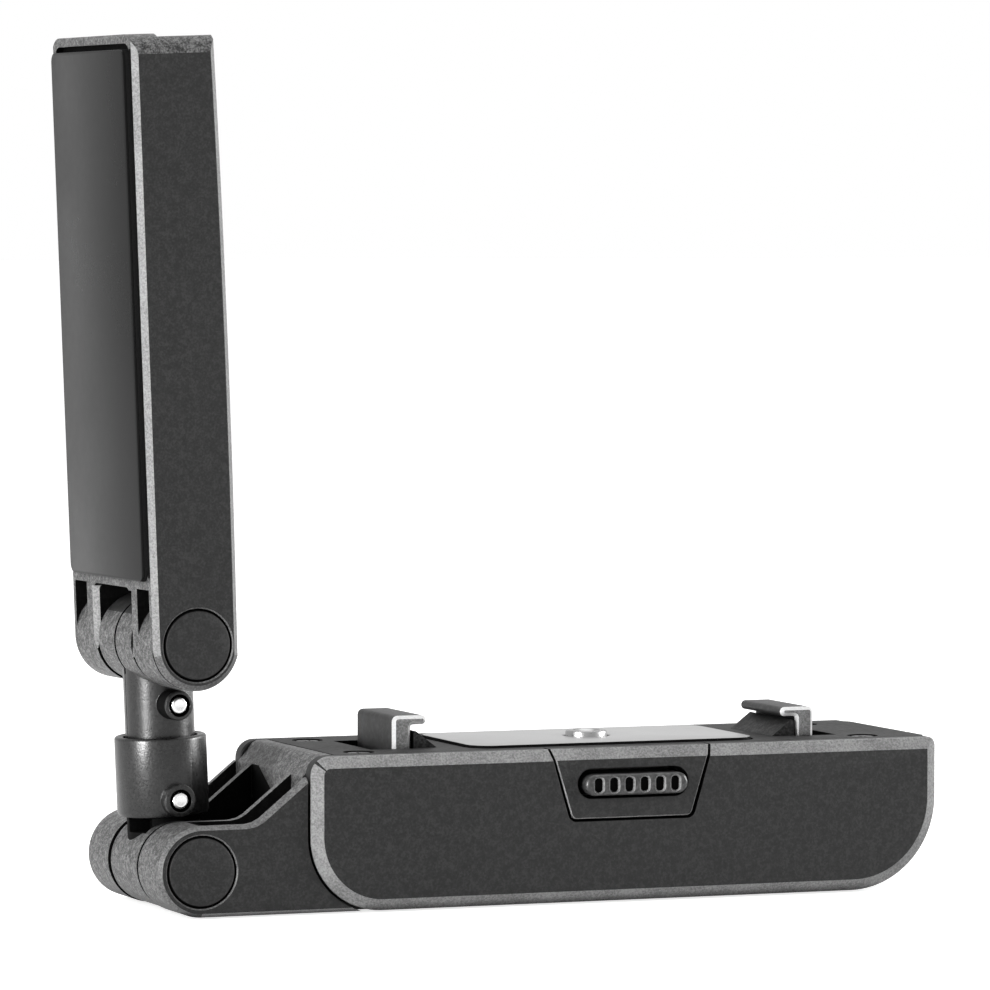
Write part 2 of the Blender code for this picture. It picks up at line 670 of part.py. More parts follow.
def deck_plate():
    depth = COVER_BACK - GAP
    radii = (DECK_HINGE_END_RADIUS, DECK_FREE_END_RADIUS, DECK_FREE_END_RADIUS, DECK_HINGE_END_RADIUS)
    outline = rounded_box(DECK_LEFT, FRAME_RIGHT, -depth, depth, radii, 0.0, (1, 3, 3, 1))
    body = finish("deck_plate", mesh_of(prism_z(outline, DECK_BOTTOM, DECK_TOP), "deck_plate"), shell_plastic())
    half_x, half_y = PLATE_HALF_LENGTH + GAP, PLATE_HALF_DEPTH + GAP
    seat = rounded_box(-half_x, half_x, -half_y, half_y, (PLATE_RADIUS + GAP,) * 4, 0.0, (4, 4, 4, 4))
    cut(body, prism_z(seat, PLATE_BOTTOM - GAP, DECK_TOP + OVERCUT))
    cut(body, rod_z(STUD_SHANK_RADIUS + GAP, DECK_BOTTOM - OVERCUT, DECK_TOP, steps=SMALL_STEPS))
    for x, y in screw_places():
        cut(body, rod_z(SCREW_SHANK_RADIUS + GAP, DECK_BOTTOM - OVERCUT, DECK_TOP, x, y, SMALL_STEPS))
        cut(body, rod_z(SCREW_HEAD_RADIUS + GAP, DECK_TOP - SCREW_HEAD_HEIGHT - GAP, DECK_TOP + OVERCUT, x, y,
                        SMALL_STEPS))
    claw_half = CLAW_DEPTH / 2
    for side in (-1, 1):
        slot_inner = CLAW_INNER - GAP
        slot_outer = CLAW_OUTER + CLAW_TRAVEL + 2 * GAP
        ends = sorted((side * slot_inner, side * slot_outer))
        cut(body, block(*ends, -claw_half - GAP, claw_half + GAP, DECK_BOTTOM - OVERCUT, DECK_TOP + OVERCUT))
        toe = slot_inner - RAMP_LENGTH
        ramp = [(side * toe, DECK_TOP - DECK_THICKNESS / 2), (side * slot_inner, DECK_TOP - DECK_THICKNESS / 2),
                (side * slot_inner, DECK_TOP + RAMP_HEIGHT), (side * toe, DECK_TOP + RAMP_TOE_HEIGHT)]
        add(body, prism_y(ramp, -claw_half, claw_half))
    return body


def contact_plate():
    half_x, half_y = PLATE_HALF_LENGTH, PLATE_HALF_DEPTH
    outline = rounded_box(-half_x, half_x, -half_y, half_y, (PLATE_RADIUS,) * 4, 0.0, (4, 4, 4, 4))
    body = finish("contact_plate", mesh_of(prism_z(outline, PLATE_BOTTOM, PLATE_TOP), "contact_plate"),
                  brushed_plate())
    cut(body, rod_z(STUD_RADIUS + GAP, PLATE_BOTTOM - OVERCUT, PLATE_TOP + OVERCUT, steps=MIDDLE_STEPS))
    return body


def locating_stud():
    top = PLATE_TOP + STUD_PROUD
    profile = [(0, DECK_BOTTOM + GAP), (STUD_SHANK_RADIUS, DECK_BOTTOM + GAP), (STUD_SHANK_RADIUS, PLATE_BOTTOM),
               (STUD_RADIUS, PLATE_BOTTOM), (STUD_RADIUS, top - STUD_EDGE), (STUD_RADIUS - STUD_EDGE, top),
               (STUD_DISH_RADIUS, top), (STUD_DISH_RADIUS - STUD_DISH_DEPTH, top - STUD_DISH_DEPTH),
               (0, top - STUD_DISH_DEPTH)]
    return finish("locating_stud", mesh_of(turned(profile, MIDDLE_STEPS), "locating_stud"), bright_steel(),
                  smooth=True)


def deck_screw(number, x, y):
    """One of the four equal countersunk screws that hold the deck plate on the frame."""
    head_top = DECK_TOP - GAP / 3
    neck = DECK_TOP - SCREW_HEAD_HEIGHT
    foot = RIM_TOP - SCREW_LENGTH + GAP
    profile = [(0, foot), (SCREW_SHANK_RADIUS, foot), (SCREW_SHANK_RADIUS, neck), (SCREW_HEAD_RADIUS, neck),
               (SCREW_HEAD_RADIUS, head_top - SCREW_EDGE), (SCREW_HEAD_RADIUS - SCREW_EDGE, head_top),
               (SCREW_SOCKET_RADIUS, head_top), (SCREW_SOCKET_FOOT_RADIUS, head_top - SCREW_SOCKET_DEPTH),
               (0, head_top - SCREW_SOCKET_DEPTH)]
    name = f"deck_screw_{number}"
    return finish(name, mesh_of(moved(turned(profile, SMALL_STEPS), x, y), name), bright_steel(), smooth=True)


def claw(name, side, height, parent):
    """A hook above the deck with its carriage below; side is -1 at the left and 1 at the right."""
    top = DECK_TOP + height
    lip_end = CLAW_INNER - CLAW_LIP_REACH
    lip_under = top - CLAW_LIP_THICKNESS
    tip = CLAW_TIP_EDGE
    profile = [(CARRIAGE_END, CARRIAGE_BOTTOM), (CARRIAGE_END, CARRIAGE_TOP), (CLAW_OUTER, CARRIAGE_TOP),
               (CLAW_OUTER, top - CLAW_EDGE), (CLAW_OUTER - CLAW_EDGE, top), (lip_end + tip, top),
               (lip_end, top - tip), (lip_end, lip_under + tip), (lip_end + tip, lip_under),
               (CLAW_INNER, lip_under), (CLAW_INNER, CARRIAGE_TOP), (GAP, CARRIAGE_TOP), (GAP, CARRIAGE_BOTTOM)]
    half = CLAW_DEPTH / 2
    body = finish(name, mesh_of(prism_y([(side * x, z) for x, z in profile], -half, half), name),
                  cover_plastic(), parent)
    clearing = wedge_outline(GAP * math.sqrt(2), -half - OVERCUT, half + OVERCUT)
    cut(body, prism_z(clearing, CARRIAGE_BOTTOM - OVERCUT, CARRIAGE_TOP + OVERCUT))
    return body


def coil(name, start, end, parent=None):
    """A compression spring as one tube along a helix from start to end."""
    start, end = Vector(start), Vector(end)
    run = (end - start).length
    along = (end - start).normalized()
    across = along.orthogonal().normalized()
    other = along.cross(across)
    count = SPRING_TURNS * SPRING_POINTS_PER_TURN
    rings = []
    for i in range(count + 1):
        turn = math.tau * i / SPRING_POINTS_PER_TURN
        outward = across * math.cos(turn) + other * math.sin(turn)
        rise = SPRING_WIRE_RADIUS + (run - 2 * SPRING_WIRE_RADIUS) * i / count
        centre = start + along * rise + outward * SPRING_RADIUS
        around = [math.tau * k / SPRING_SIDES for k in range(SPRING_SIDES)]
        rings.append([centre + (outward * math.cos(a) + along * math.sin(a)) * SPRING_WIRE_RADIUS for a in around])
    return finish(name, mesh_of(loft(rings), name), spring_steel(), parent, smooth=True)


def springs():
    height = (CARRIAGE_BOTTOM + CARRIAGE_TOP) / 2
    coil("claw_spring_left", (CAVITY_LEFT + GAP, 0, height), (-CARRIAGE_END - GAP, 0, height))
    coil("claw_spring_right", (CAVITY_RIGHT - GAP, 0, height), (CARRIAGE_END + GAP, 0, height))
    coil("button_spring", (0, CAVITY_HALF - GAP, height), (0, WEDGE_TIP_Y + GAP, height))


def hinge_hardware(prefix, half_depth, parent):
    """Bolt, nut, two washers and two caps of one hinge, about the parent's Y axis."""
    head_top = half_depth - HEAD_OUTER
    head_under = head_top - BOLT_HEAD_HEIGHT
    socket = head_top - BOLT_SOCKET_DEPTH
    bolt = [(0, -head_under), (BOLT_RADIUS, -head_under), (BOLT_RADIUS, head_top - GAP), (0, head_top - GAP)]
    body = finish(prefix + "_bolt", mesh_of(along_y(turned(bolt, SMALL_STEPS)), prefix + "_bolt"),
                  bright_steel(), parent)
    add(body, rod_y(BOLT_HEAD_RADIUS, -head_top, -head_under + BITE, steps=MIDDLE_STEPS))
    cut(body, along_y(turned([(0, -head_top - OVERCUT), (BOLT_SOCKET_RADIUS, -head_top - OVERCUT),
                              (BOLT_SOCKET_RADIUS, -socket), (0, -socket)], 6)))
    smooth(body)
    nut = finish(prefix + "_nut", mesh_of(rod_y(NUT_ACROSS_CORNERS / 2, head_under, head_top, steps=6),
                                          prefix + "_nut"), bright_steel(), parent)
    cut(nut, rod_y(BOLT_RADIUS + GAP, head_under - OVERCUT, head_top + OVERCUT, steps=SMALL_STEPS))
    for label, side in (("front", -1), ("rear", 1)):
        low, high = sorted((side * (head_under - GAP), side * (head_under - GAP - WASHER_THICKNESS)))
        wide = BOLT_HEAD_RADIUS - WASHER_INSET
        ring = [(BOLT_RADIUS + GAP, low), (wide, low), (wide, high), (BOLT_RADIUS + GAP, high)]
        name = f"{prefix}_washer_{label}"
        finish(name, mesh_of(along_y(turned(ring, SMALL_STEPS)), name), spring_steel(), parent, smooth=True)
        inner = side * (half_depth - CAP_THICKNESS)
        outer = side * half_depth
        rim = outer - side * CAP_CHAMFER
        profile = [(0, inner), (CAP_RADIUS, inner), (CAP_RADIUS, rim), (CAP_RADIUS - CAP_CHAMFER, outer), (0, outer)]
        name = f"{prefix}_cap_{label}"
        finish(name, mesh_of(along_y(turned(profile)), name), cover_plastic(), parent, smooth=True)


def swivel_socket(parent):
    half = LOWER_KNUCKLE_WIDTH / 2
    name = "swivel_socket"
    body = finish(name, mesh_of(rod_y(KNUCKLE_RADIUS, -half, half), name), shell_plastic(), parent)
    add(body, rod_z(SOCKET_COLUMN_RADIUS, 0, SLEEVE_BOTTOM + BITE))
    rim = [(SLEEVE_RADIUS - SLEEVE_RIM + r, SLEEVE_TOP - SLEEVE_RIM + z)
           for r, z in arc(0, 0, SLEEVE_RIM, 0, 90, 4)]
    sleeve = [(0, SLEEVE_BOTTOM), (SLEEVE_RADIUS, SLEEVE_BOTTOM)] + rim + [(0, SLEEVE_TOP)]
    add(body, turned(sleeve))
    add(body, rod_y(LOWER_BOSS_RADIUS, -PIN_FACE, -SHAFT_RADIUS - 2 * GAP, 0, LOWER_PIN_HEIGHT, MIDDLE_STEPS))
    bore = SHAFT_RADIUS + GAP
    cut(body, rod_z(bore, SHAFT_BOTTOM - GAP, SLEEVE_TOP + OVERCUT, steps=MIDDLE_STEPS))
    cut(body, rod_z(NECK_RADIUS + GAP, SPIGOT_BOTTOM - 2 * GAP - SWIVEL_WASHER_THICKNESS, SLEEVE_TOP + OVERCUT))
    cut(body, rod_y(PIN_RADIUS + GAP, -PIN_FACE - OVERCUT, 0, 0, LOWER_PIN_HEIGHT, SMALL_STEPS))
    cut(body, rod_y(BOLT_RADIUS + GAP, -half - OVERCUT, half + OVERCUT, steps=SMALL_STEPS))
    cut(body, block(-KNUCKLE_RADIUS - OVERCUT, -KNUCKLE_RADIUS + 2 * WINDOW_DEPTH, -WINDOW_DEPTH, WINDOW_DEPTH,
                    SLEEVE_BOTTOM - WINDOW_DEPTH, SLEEVE_BOTTOM - BITE))
    smooth(body)
    return body


def swivel_washer(parent):
    low = SPIGOT_BOTTOM - GAP - SWIVEL_WASHER_THICKNESS
    ring = [(SHAFT_RADIUS + GAP, low), (NECK_RADIUS, low), (NECK_RADIUS, low + SWIVEL_WASHER_THICKNESS),
            (SHAFT_RADIUS + GAP, low + SWIVEL_WASHER_THICKNESS)]
    return finish("swivel_washer", mesh_of(turned(ring, MIDDLE_STEPS), "swivel_washer"), nylon(), parent, smooth=True)


def pin(name, y_end, height, parent):
    """A round pin along Y whose bright end shows in a boss on the front."""
    face = -PIN_FACE - PIN_PROUD
    inner = PIN_RADIUS - PIN_EDGE
    profile = [(0, face), (inner, face), (PIN_RADIUS, face + PIN_EDGE), (PIN_RADIUS, y_end - PIN_EDGE),
               (inner, y_end), (0, y_end)]
    return finish(name, mesh_of(along_y(turned(profile, SMALL_STEPS), 0, height), name), bright_steel(), parent,
                  smooth=True)


def swivel_shaft(parent):
    reach = PIN_RADIUS + GAP
    inner = SHAFT_RADIUS - SHAFT_EDGE
    profile = [(0, SHAFT_BOTTOM), (inner, SHAFT_BOTTOM), (SHAFT_RADIUS, SHAFT_BOTTOM + SHAFT_EDGE),
               (SHAFT_RADIUS, LOWER_PIN_HEIGHT - reach), (SHAFT_GROOVE_RADIUS, LOWER_PIN_HEIGHT - reach),
               (SHAFT_GROOVE_RADIUS, LOWER_PIN_HEIGHT + reach), (SHAFT_RADIUS, LOWER_PIN_HEIGHT + reach),
               (SHAFT_RADIUS, SHAFT_TOP - SHAFT_EDGE), (inner, SHAFT_TOP), (0, SHAFT_TOP)]
    body = finish("swivel_shaft", mesh_of(turned(profile, MIDDLE_STEPS), "swivel_shaft"), bright_steel(), parent)
    cut(body, rod_y(reach, -SHAFT_RADIUS - OVERCUT, SHAFT_RADIUS + OVERCUT, 0, UPPER_PIN_HEIGHT, SMALL_STEPS))
    smooth(body)
    return body


def post_half(name, side, parent):
    """Half of the post, in front of or behind the middle plane, with half of the knuckle."""
    half = UPPER_KNUCKLE_WIDTH / 2
    body = finish(name, mesh_of(rod_y(KNUCKLE_RADIUS, -half, half, 0, POST_LENGTH), name), shell_plastic(), parent)
    add(body, rod_z(NECK_RADIUS, SPIGOT_BOTTOM, POST_LENGTH - KNUCKLE_RADIUS / 2))
    if side < 0:
        add(body, rod_y(UPPER_BOSS_RADIUS, -PIN_FACE, -SHAFT_RADIUS, 0, UPPER_PIN_HEIGHT, MIDDLE_STEPS))
    cut(body, rod_z(SHAFT_RADIUS + GAP, SPIGOT_BOTTOM - OVERCUT, SHAFT_TOP + GAP, steps=MIDDLE_STEPS))
    cut(body, rod_y(BOLT_RADIUS + GAP, -half - OVERCUT, half + OVERCUT, 0, POST_LENGTH, SMALL_STEPS))
    pin_end = PIN_END_DEPTH + GAP
    cut(body, rod_y(PIN_RADIUS + GAP, -PIN_FACE - OVERCUT, pin_end, 0, UPPER_PIN_HEIGHT, SMALL_STEPS))
    far = 4 * KNUCKLE_RADIUS
    ends = sorted((side * GAP / 2, -side * far))
    cut(body, block(-far, far, *ends, 0, POST_LENGTH + far))
    smooth(body)
    return body


def arm_outline():
    """Round at the hinge, flat on the pad's side and slightly bowed on the open side."""
    points = arc(0, 0, ARM_END_RADIUS, 180, 360, ROUND_STEPS // 2)
    points[-1] = (ARM_OPEN_SIDE, 0)
    for i in range(1, ARM_BOW_STEPS + 1):
        share = i / ARM_BOW_STEPS
        bow = 4 * ARM_BOW * share * (1 - share)
        points.append((ARM_OPEN_SIDE - ARM_TOP_TAPER * share + bow, ARM_LENGTH * share))
    points.append((-ARM_PAD_SIDE, ARM_LENGTH))
    return points


def top_corner(side, reach):
    """Takes the corner off the arm's top at the front or the rear, in a round."""
    y, z = ARM_DEPTH / 2 - ARM_TOP_RADIUS, ARM_LENGTH - ARM_TOP_RADIUS
    outer, top = ARM_DEPTH / 2 + OVERCUT, ARM_LENGTH + OVERCUT
    outline = arc(y, z, ARM_TOP_RADIUS, 0, 90, 4) + [(y, top), (outer, top), (outer, z)]
    return prism_x([(side * across, up) for across, up in outline], -reach, reach)


def arm_body(parent):
    half = ARM_DEPTH / 2
    body = finish("arm_body", mesh_of(chamfered_y(arm_outline(), half, ARM_EDGE), "arm_body"), shell_plastic(),
                  parent)
    channel = half - ARM_FLANGE
    web = -ARM_PAD_SIDE + ARM_WEB
    bridge_top = CLEVIS_TOP + CLEVIS_BRIDGE
    far = ARM_OPEN_SIDE + ARM_BOW + OVERCUT
    cut(body, top_corner(-1, far), top_corner(1, far))
    lip_bottom = ARM_LENGTH - ARM_END_LIP_HEIGHT
    cut(body, block(web, far, -channel, channel, bridge_top, lip_bottom))
    cut(body, block(-ARM_PAD_SIDE + ARM_END_LIP, far, -channel, channel, bridge_top, ARM_LENGTH + OVERCUT))
    near = -ARM_END_RADIUS - OVERCUT
    bottom = -ARM_END_RADIUS - OVERCUT
    cut(body, block(near, far, -UPPER_LUG_INNER, UPPER_LUG_INNER, bottom, CLEVIS_TOP))
    for side in (-1, 1):
        ends = sorted((side * (UPPER_LUG_INNER + ARM_RIB), side * channel))
        pocket = [(near, 0)] + arc(0, 0, ARM_END_RADIUS - LUG_RING_STEP, 180, 0, ROUND_STEPS // 2)
        pocket += [(far, 0), (far, CLEVIS_TOP), (near, CLEVIS_TOP)]
        cut(body, prism_y(pocket, *ends))
    cut(body, *hinge_bores(half))
    recess_half = PAD_HALF_WIDTH + GAP
    seat = rounded_box(-recess_half, recess_half, PAD_BOTTOM - GAP, PAD_TOP + GAP, (PAD_RADIUS + GAP,) * 4, 0.0,
                       (3, 3, 3, 3))
    cut(body, prism_x(seat, -ARM_PAD_SIDE - OVERCUT, -ARM_PAD_SIDE + PAD_RECESS))
    return body


def pad_layer(name, back, thickness, look, parent):
    """A flat layer on the arm's broad face; back is its depth outside the arm's face."""
    half = PAD_HALF_WIDTH
    outline = rounded_box(-half, half, PAD_BOTTOM, PAD_TOP, (PAD_RADIUS,) * 4, 0.0, (3, 3, 3, 3))
    x = -ARM_PAD_SIDE - back
    return finish(name, mesh_of(prism_x(outline, x - thickness, x), name), look, parent)


def build():
    clear_scene()
    hinge = (HINGE_X, 0, HINGE_Z)
    base_hinge = axis_empty("base_hinge_axis", hinge, lean=POST_LEAN)
    swivel = axis_empty("swivel_axis", (0, 0, 0), base_hinge, turn=SWIVEL_TURN)
    arm_hinge = axis_empty("arm_hinge_axis", (0, 0, POST_LENGTH), swivel, ARM_EXTRA_LEAN)
    button_slide = axis_empty("button_axis", (0, 0, 0))
    left_slide = axis_empty("claw_left_axis", (0, 0, 0))
    right_slide = axis_empty("claw_right_axis", (0, 0, 0))
    fixed_hinge = axis_empty("base_hinge_hardware", hinge)
    base_frame()
    front_cover()
    rear_cover()
    deck_plate()
    contact_plate()
    locating_stud()
    for number, (x, y) in enumerate(screw_places(), 1):
        deck_screw(number, x, y)
    button_bezel()
    release_button(button_slide)
    release_wedge(button_slide)
    claw("claw_left", -1, CLAW_LEFT_HEIGHT, left_slide)
    claw("claw_right", 1, CLAW_RIGHT_HEIGHT, right_slide)
    springs()
    hinge_hardware("base_hinge", HALF_DEPTH, fixed_hinge)
    swivel_socket(base_hinge)
    swivel_washer(base_hinge)
    pin("swivel_pin_lower", -SHAFT_GROOVE_RADIUS - GAP, LOWER_PIN_HEIGHT, base_hinge)
    swivel_shaft(swivel)
    post_half("post_front", -1, swivel)
    post_half("post_rear", 1, swivel)
    pin("swivel_pin_upper", PIN_END_DEPTH, UPPER_PIN_HEIGHT, swivel)
    arm_body(arm_hinge)
    hinge_hardware("arm_hinge", ARM_DEPTH / 2, arm_hinge)
    foam_back = GAP - PAD_RECESS
    pad_layer("adhesive_foam", foam_back, FOAM_THICKNESS, foam_black(), arm_hinge)
    pad_layer("pad_film", foam_back + FOAM_THICKNESS + GAP, FILM_THICKNESS, film_grey(), arm_hinge)


build()
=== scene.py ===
"""Looks of the folding bracket: finer pieces over the frame, their materials, a plain studio and a camera.

Lengths are in millimetres and become metres where a mesh is made.
"""
import math

import bmesh
import bpy
from mathutils import Matrix, Vector


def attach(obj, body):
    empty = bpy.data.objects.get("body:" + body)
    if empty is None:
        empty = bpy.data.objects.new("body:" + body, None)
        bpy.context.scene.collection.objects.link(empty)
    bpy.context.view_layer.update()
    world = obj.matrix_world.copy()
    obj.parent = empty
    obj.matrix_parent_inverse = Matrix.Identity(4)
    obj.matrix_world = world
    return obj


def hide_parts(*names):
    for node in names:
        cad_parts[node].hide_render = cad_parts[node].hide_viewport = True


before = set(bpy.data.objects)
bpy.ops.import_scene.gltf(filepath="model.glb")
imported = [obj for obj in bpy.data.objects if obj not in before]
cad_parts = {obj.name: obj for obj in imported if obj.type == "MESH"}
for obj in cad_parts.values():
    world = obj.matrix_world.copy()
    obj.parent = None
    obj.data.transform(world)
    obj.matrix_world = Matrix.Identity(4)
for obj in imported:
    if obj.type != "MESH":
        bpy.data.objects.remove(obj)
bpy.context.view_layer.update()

MM = 0.001
GAP = 0.3
OVER = 1.0

# Facets round a bolt hole, a pin, the shaft's bore, a turned piece, a barrel and a wide round piece
HOLE_STEPS, PIN_STEPS, BORE_STEPS, TURNED_STEPS, BARREL_STEPS, ROUND_STEPS = 32, 40, 48, 64, 72, 96

# Places of the two hinges, the same as in the frame
HINGE = Vector((-48.5, 0.0, 4.8))
POST_LEAN = math.radians(2.4)
SWIVEL_TURN = math.radians(2.8)
ARM_EXTRA_LEAN = math.radians(-0.2)
POST_LENGTH = 23.85
SOCKET_PLACE = Matrix.Translation(HINGE * MM) @ Matrix.Rotation(-POST_LEAN, 4, "Y")
POST_PLACE = SOCKET_PLACE @ Matrix.Rotation(SWIVEL_TURN, 4, "Z")
ARM_PLACE = (POST_PLACE @ Matrix.Translation(Vector((0.0, 0.0, POST_LENGTH)) * MM)
             @ Matrix.Rotation(-ARM_EXTRA_LEAN, 4, "Y"))

# Covers
COVER_LEFT, COVER_RIGHT = -36.4, 36.4
COVER_TOP, COVER_LIFT = 16.55, 0.02
COVER_FACE, COVER_BACK, COVER_BEVEL = 12.75, 10.55, 1.2
COVER_RADII = (8.0, 10.0, 0.9, 2.0)
COVER_STEPS = (20, 24, 5, 9)
COVER_CORNER = 2.2
CORNER_SLOPES = (0.8, 1.3)

# Frame
HALF_DEPTH, FRAME_EDGE = 12.0, 0.42
WALL_FACE = 10.25
CAVITY_HALF, CAVITY_END, CAVITY_FLOOR = 8.6, 32.2, 1.8
CAVITY_RADII = (1.0, 5.8, 1.0, 1.0)
RIM_TOP = 14.5
FRAME_RIGHT, FRAME_RADIUS = 36.1, 10.0
LUG_RADIUS, LUG_FLAT, LUG_INNER, BARREL_RADIUS = 4.8, 5.9, 4.9, 4.72
RIB_INNER, RIB_THICKNESS, LUG_WALL = 5.75, 1.0, 1.2
POCKET_FLOOR = 1.6
SLOPE_START = ((-0.9, 0.0), (0.0, 0.18), (0.8, 0.6))
CREST_X = COVER_LEFT + 1.1
CREST_ROUND = ((-0.32, -1.05), (-0.05, -0.6), (0.3, -0.25), (0.65, -0.07), (1.0, 0.0))
BOSS_RADIUS, BOSS_FOOT, BOSS_DEPTH = 1.7, 1.7, 7.0
RAIL_INNER, RAIL_OUTER, RAIL_END, RAIL_FLOOR, RAIL_TOP = 3.6, 4.8, 27.5, 1.7, 12.2
# Corners across and up of the painted shadow, the dark part of the wall between the lugs
WALL_PAINTED_SHADOW = [(5.7, 14.4), (3.5, 14.4), (-0.6, 12.0), (-5.7, 11.5), (-5.7, 1.7), (5.7, 1.7)]

# Hinges
BOLT_BORE, HEAD_BORE, HEAD_DEPTH = 1.8, 3.3, 4.4
SEAT_RADIUS, SEAT_DEPTH, CAP_RADIUS, CAP_DEPTH = 3.86, 1.5, 3.7, 1.2
SEAT_BREAK, SEAT_REACH = 0.14, 0.4

# Deck
DECK_LEFT, DECK_TOP, DECK_BOTTOM = -33.1, 16.55, 14.8
DECK_RADII, DECK_STEPS = (0.3, 1.0, 1.0, 0.3), (3, 6, 6, 3)
# Length, depth and corner radius of the contact plate
PLATE = (33.2, 17.6, 2.5)
PLATE_TOP, PLATE_BOTTOM = 16.85, 16.0
PLATE_HOLE, STUD_FOOT, STUD_RADIUS, STUD_RISE = 2.6, 1.6, 2.3, 0.6
SCREWS = [(x, y) for x in (-29.5, 29.5) for y in (-8.0, 8.0)]
SCREW_BORE, SCREW_SEAT, SEAT_FLOOR = 1.0, 1.7, 1.1
SCREW_SHANK, SCREW_HEAD, SCREW_DEPTH = 0.7, 1.4, 6.7
CROSS_REACH, CROSS_HALF, CROSS_DEPTH = 0.85, 0.16, 0.45
CLAW_OUTER, CLAW_INNER, CLAW_HALF, CLAW_EDGE, CLAW_FOOT = 24.7, 22.6, 5.6, 0.36, 12.5
CLAW_REACH, CLAW_LIP, CLAW_CORNER, CLAW_SHOULDER = 1.8, 1.0, 0.62, 1.6
LEFT_HEIGHT, RIGHT_HEIGHT = 3.5, 3.15
CLAW_ROOM, RAMP_LENGTH, RAMP_HEIGHT, RAMP_FOOT = 2.6, 2.6, 1.6, 15.6
WEDGE_WIDE, WEDGE_NARROW, WEDGE_BEND, WEDGE_END = 9.4243, 3.4243, 3.0, 7.0

# Button and its opening: centre across and up, width and height
BUTTON = (0.32, 12.63, 11.95, 2.3)
BUTTON_SLOT = (0.2, 12.75, 12.9, 3.25)
BUTTON_RISE, BUTTON_BACK = 1.0, 8.0
FLANGE_MARGIN, FLANGE_BACK, FLANGE_FACE = 1.25, 7.3, 8.3
PIT_COUNT, PIT_PITCH, PIT_HALF_WIDTH, PIT_HALF_HEIGHT, PIT_RADIUS = 6, 1.78, 0.42, 0.75, 0.36
# How far each level of a pit is out from the button's face, and how much wider than the pit
PIT_LEVELS = ((0.3, 0.45), (-0.22, 0.02), (-0.5, -0.03), (-0.56, -0.12))
# Bezel: centre, half its width at the covers' top and at its foot, height of the foot, corner radius
BEZEL_X, BEZEL_TOP, BEZEL_FOOT, BEZEL_BOTTOM, BEZEL_RADIUS = 0.08, 9.2, 6.9, 9.0, 0.7

# Post
KNUCKLE_RADIUS, KNUCKLE_EDGE = 4.7, 0.15
LOWER_HALF, UPPER_HALF = 4.6, 4.85
COLUMN_RADIUS = 3.9
SLEEVE_RADIUS, SLEEVE_BOTTOM, SLEEVE_TOP, SLEEVE_RIM = 4.9, 5.1, 13.6, 0.35
NECK_RADIUS, NECK_OVERLAP, SPIGOT_BOTTOM = 3.7, 2.35, 10.9
NECK_FLOOR, SHAFT_BORE, SHAFT_FLOOR, SHAFT_TOP = 9.7, 2.3, 4.6, 20.2
LOWER_PIN, LOWER_PIN_END, UPPER_PIN, UPPER_PIN_END = 7.0, -1.6, 17.1, 3.2
PIN_FACE, PIN_RADIUS, PIN_BORE = 6.0, 0.9, 1.2
# Bosses round the pins: radius, radius of the flat face, and how far out the root is
LOWER_BOSS, UPPER_BOSS = (1.75, 1.5, 2.6), (1.6, 1.36, 2.0)
# The notch in the lower knuckle: its right end, its two sides, its foot and its top
NOTCH = (-1.5, -3.1, -0.1, 3.5, 5.0)
# Height above the upper hinge from which the upper knuckle's round side is painted with shade
SHADED_HEIGHT = 2.9

# Arm and pad
ARM_HALF, ARM_LENGTH, ARM_EDGE, ARM_WALL = 12.0, 64.0, 0.6, 1.2
PAD_SIDE, OPEN_SIDE, TOP_TAPER, BOW = 4.8, 4.65, 0.2, 0.3
END_RADIUS, TOP_RADIUS = 4.85, 2.4
CHANNEL_START, CHANNEL_FLOOR, TOP_FLOOR, TOP_WALL = 7.4, 2.0, 3.2, 1.4
CLEVIS_TOP, CLEVIS_RADII, CLEVIS_RIB, CLEVIS_CHAMFER = 6.0, (0.3, 0.3, 0.8, 0.8), 2.2, 0.55
POCKET_RADIUS = 4.95
STRIP_END = -0.8
PAD_WIDTH, PAD_BOTTOM, PAD_TOP, PAD_RADIUS = 21.2, 6.9, 62.45, 1.0
PAD_RECESS, RECESS_OVER = 0.8, 0.6


# Materials

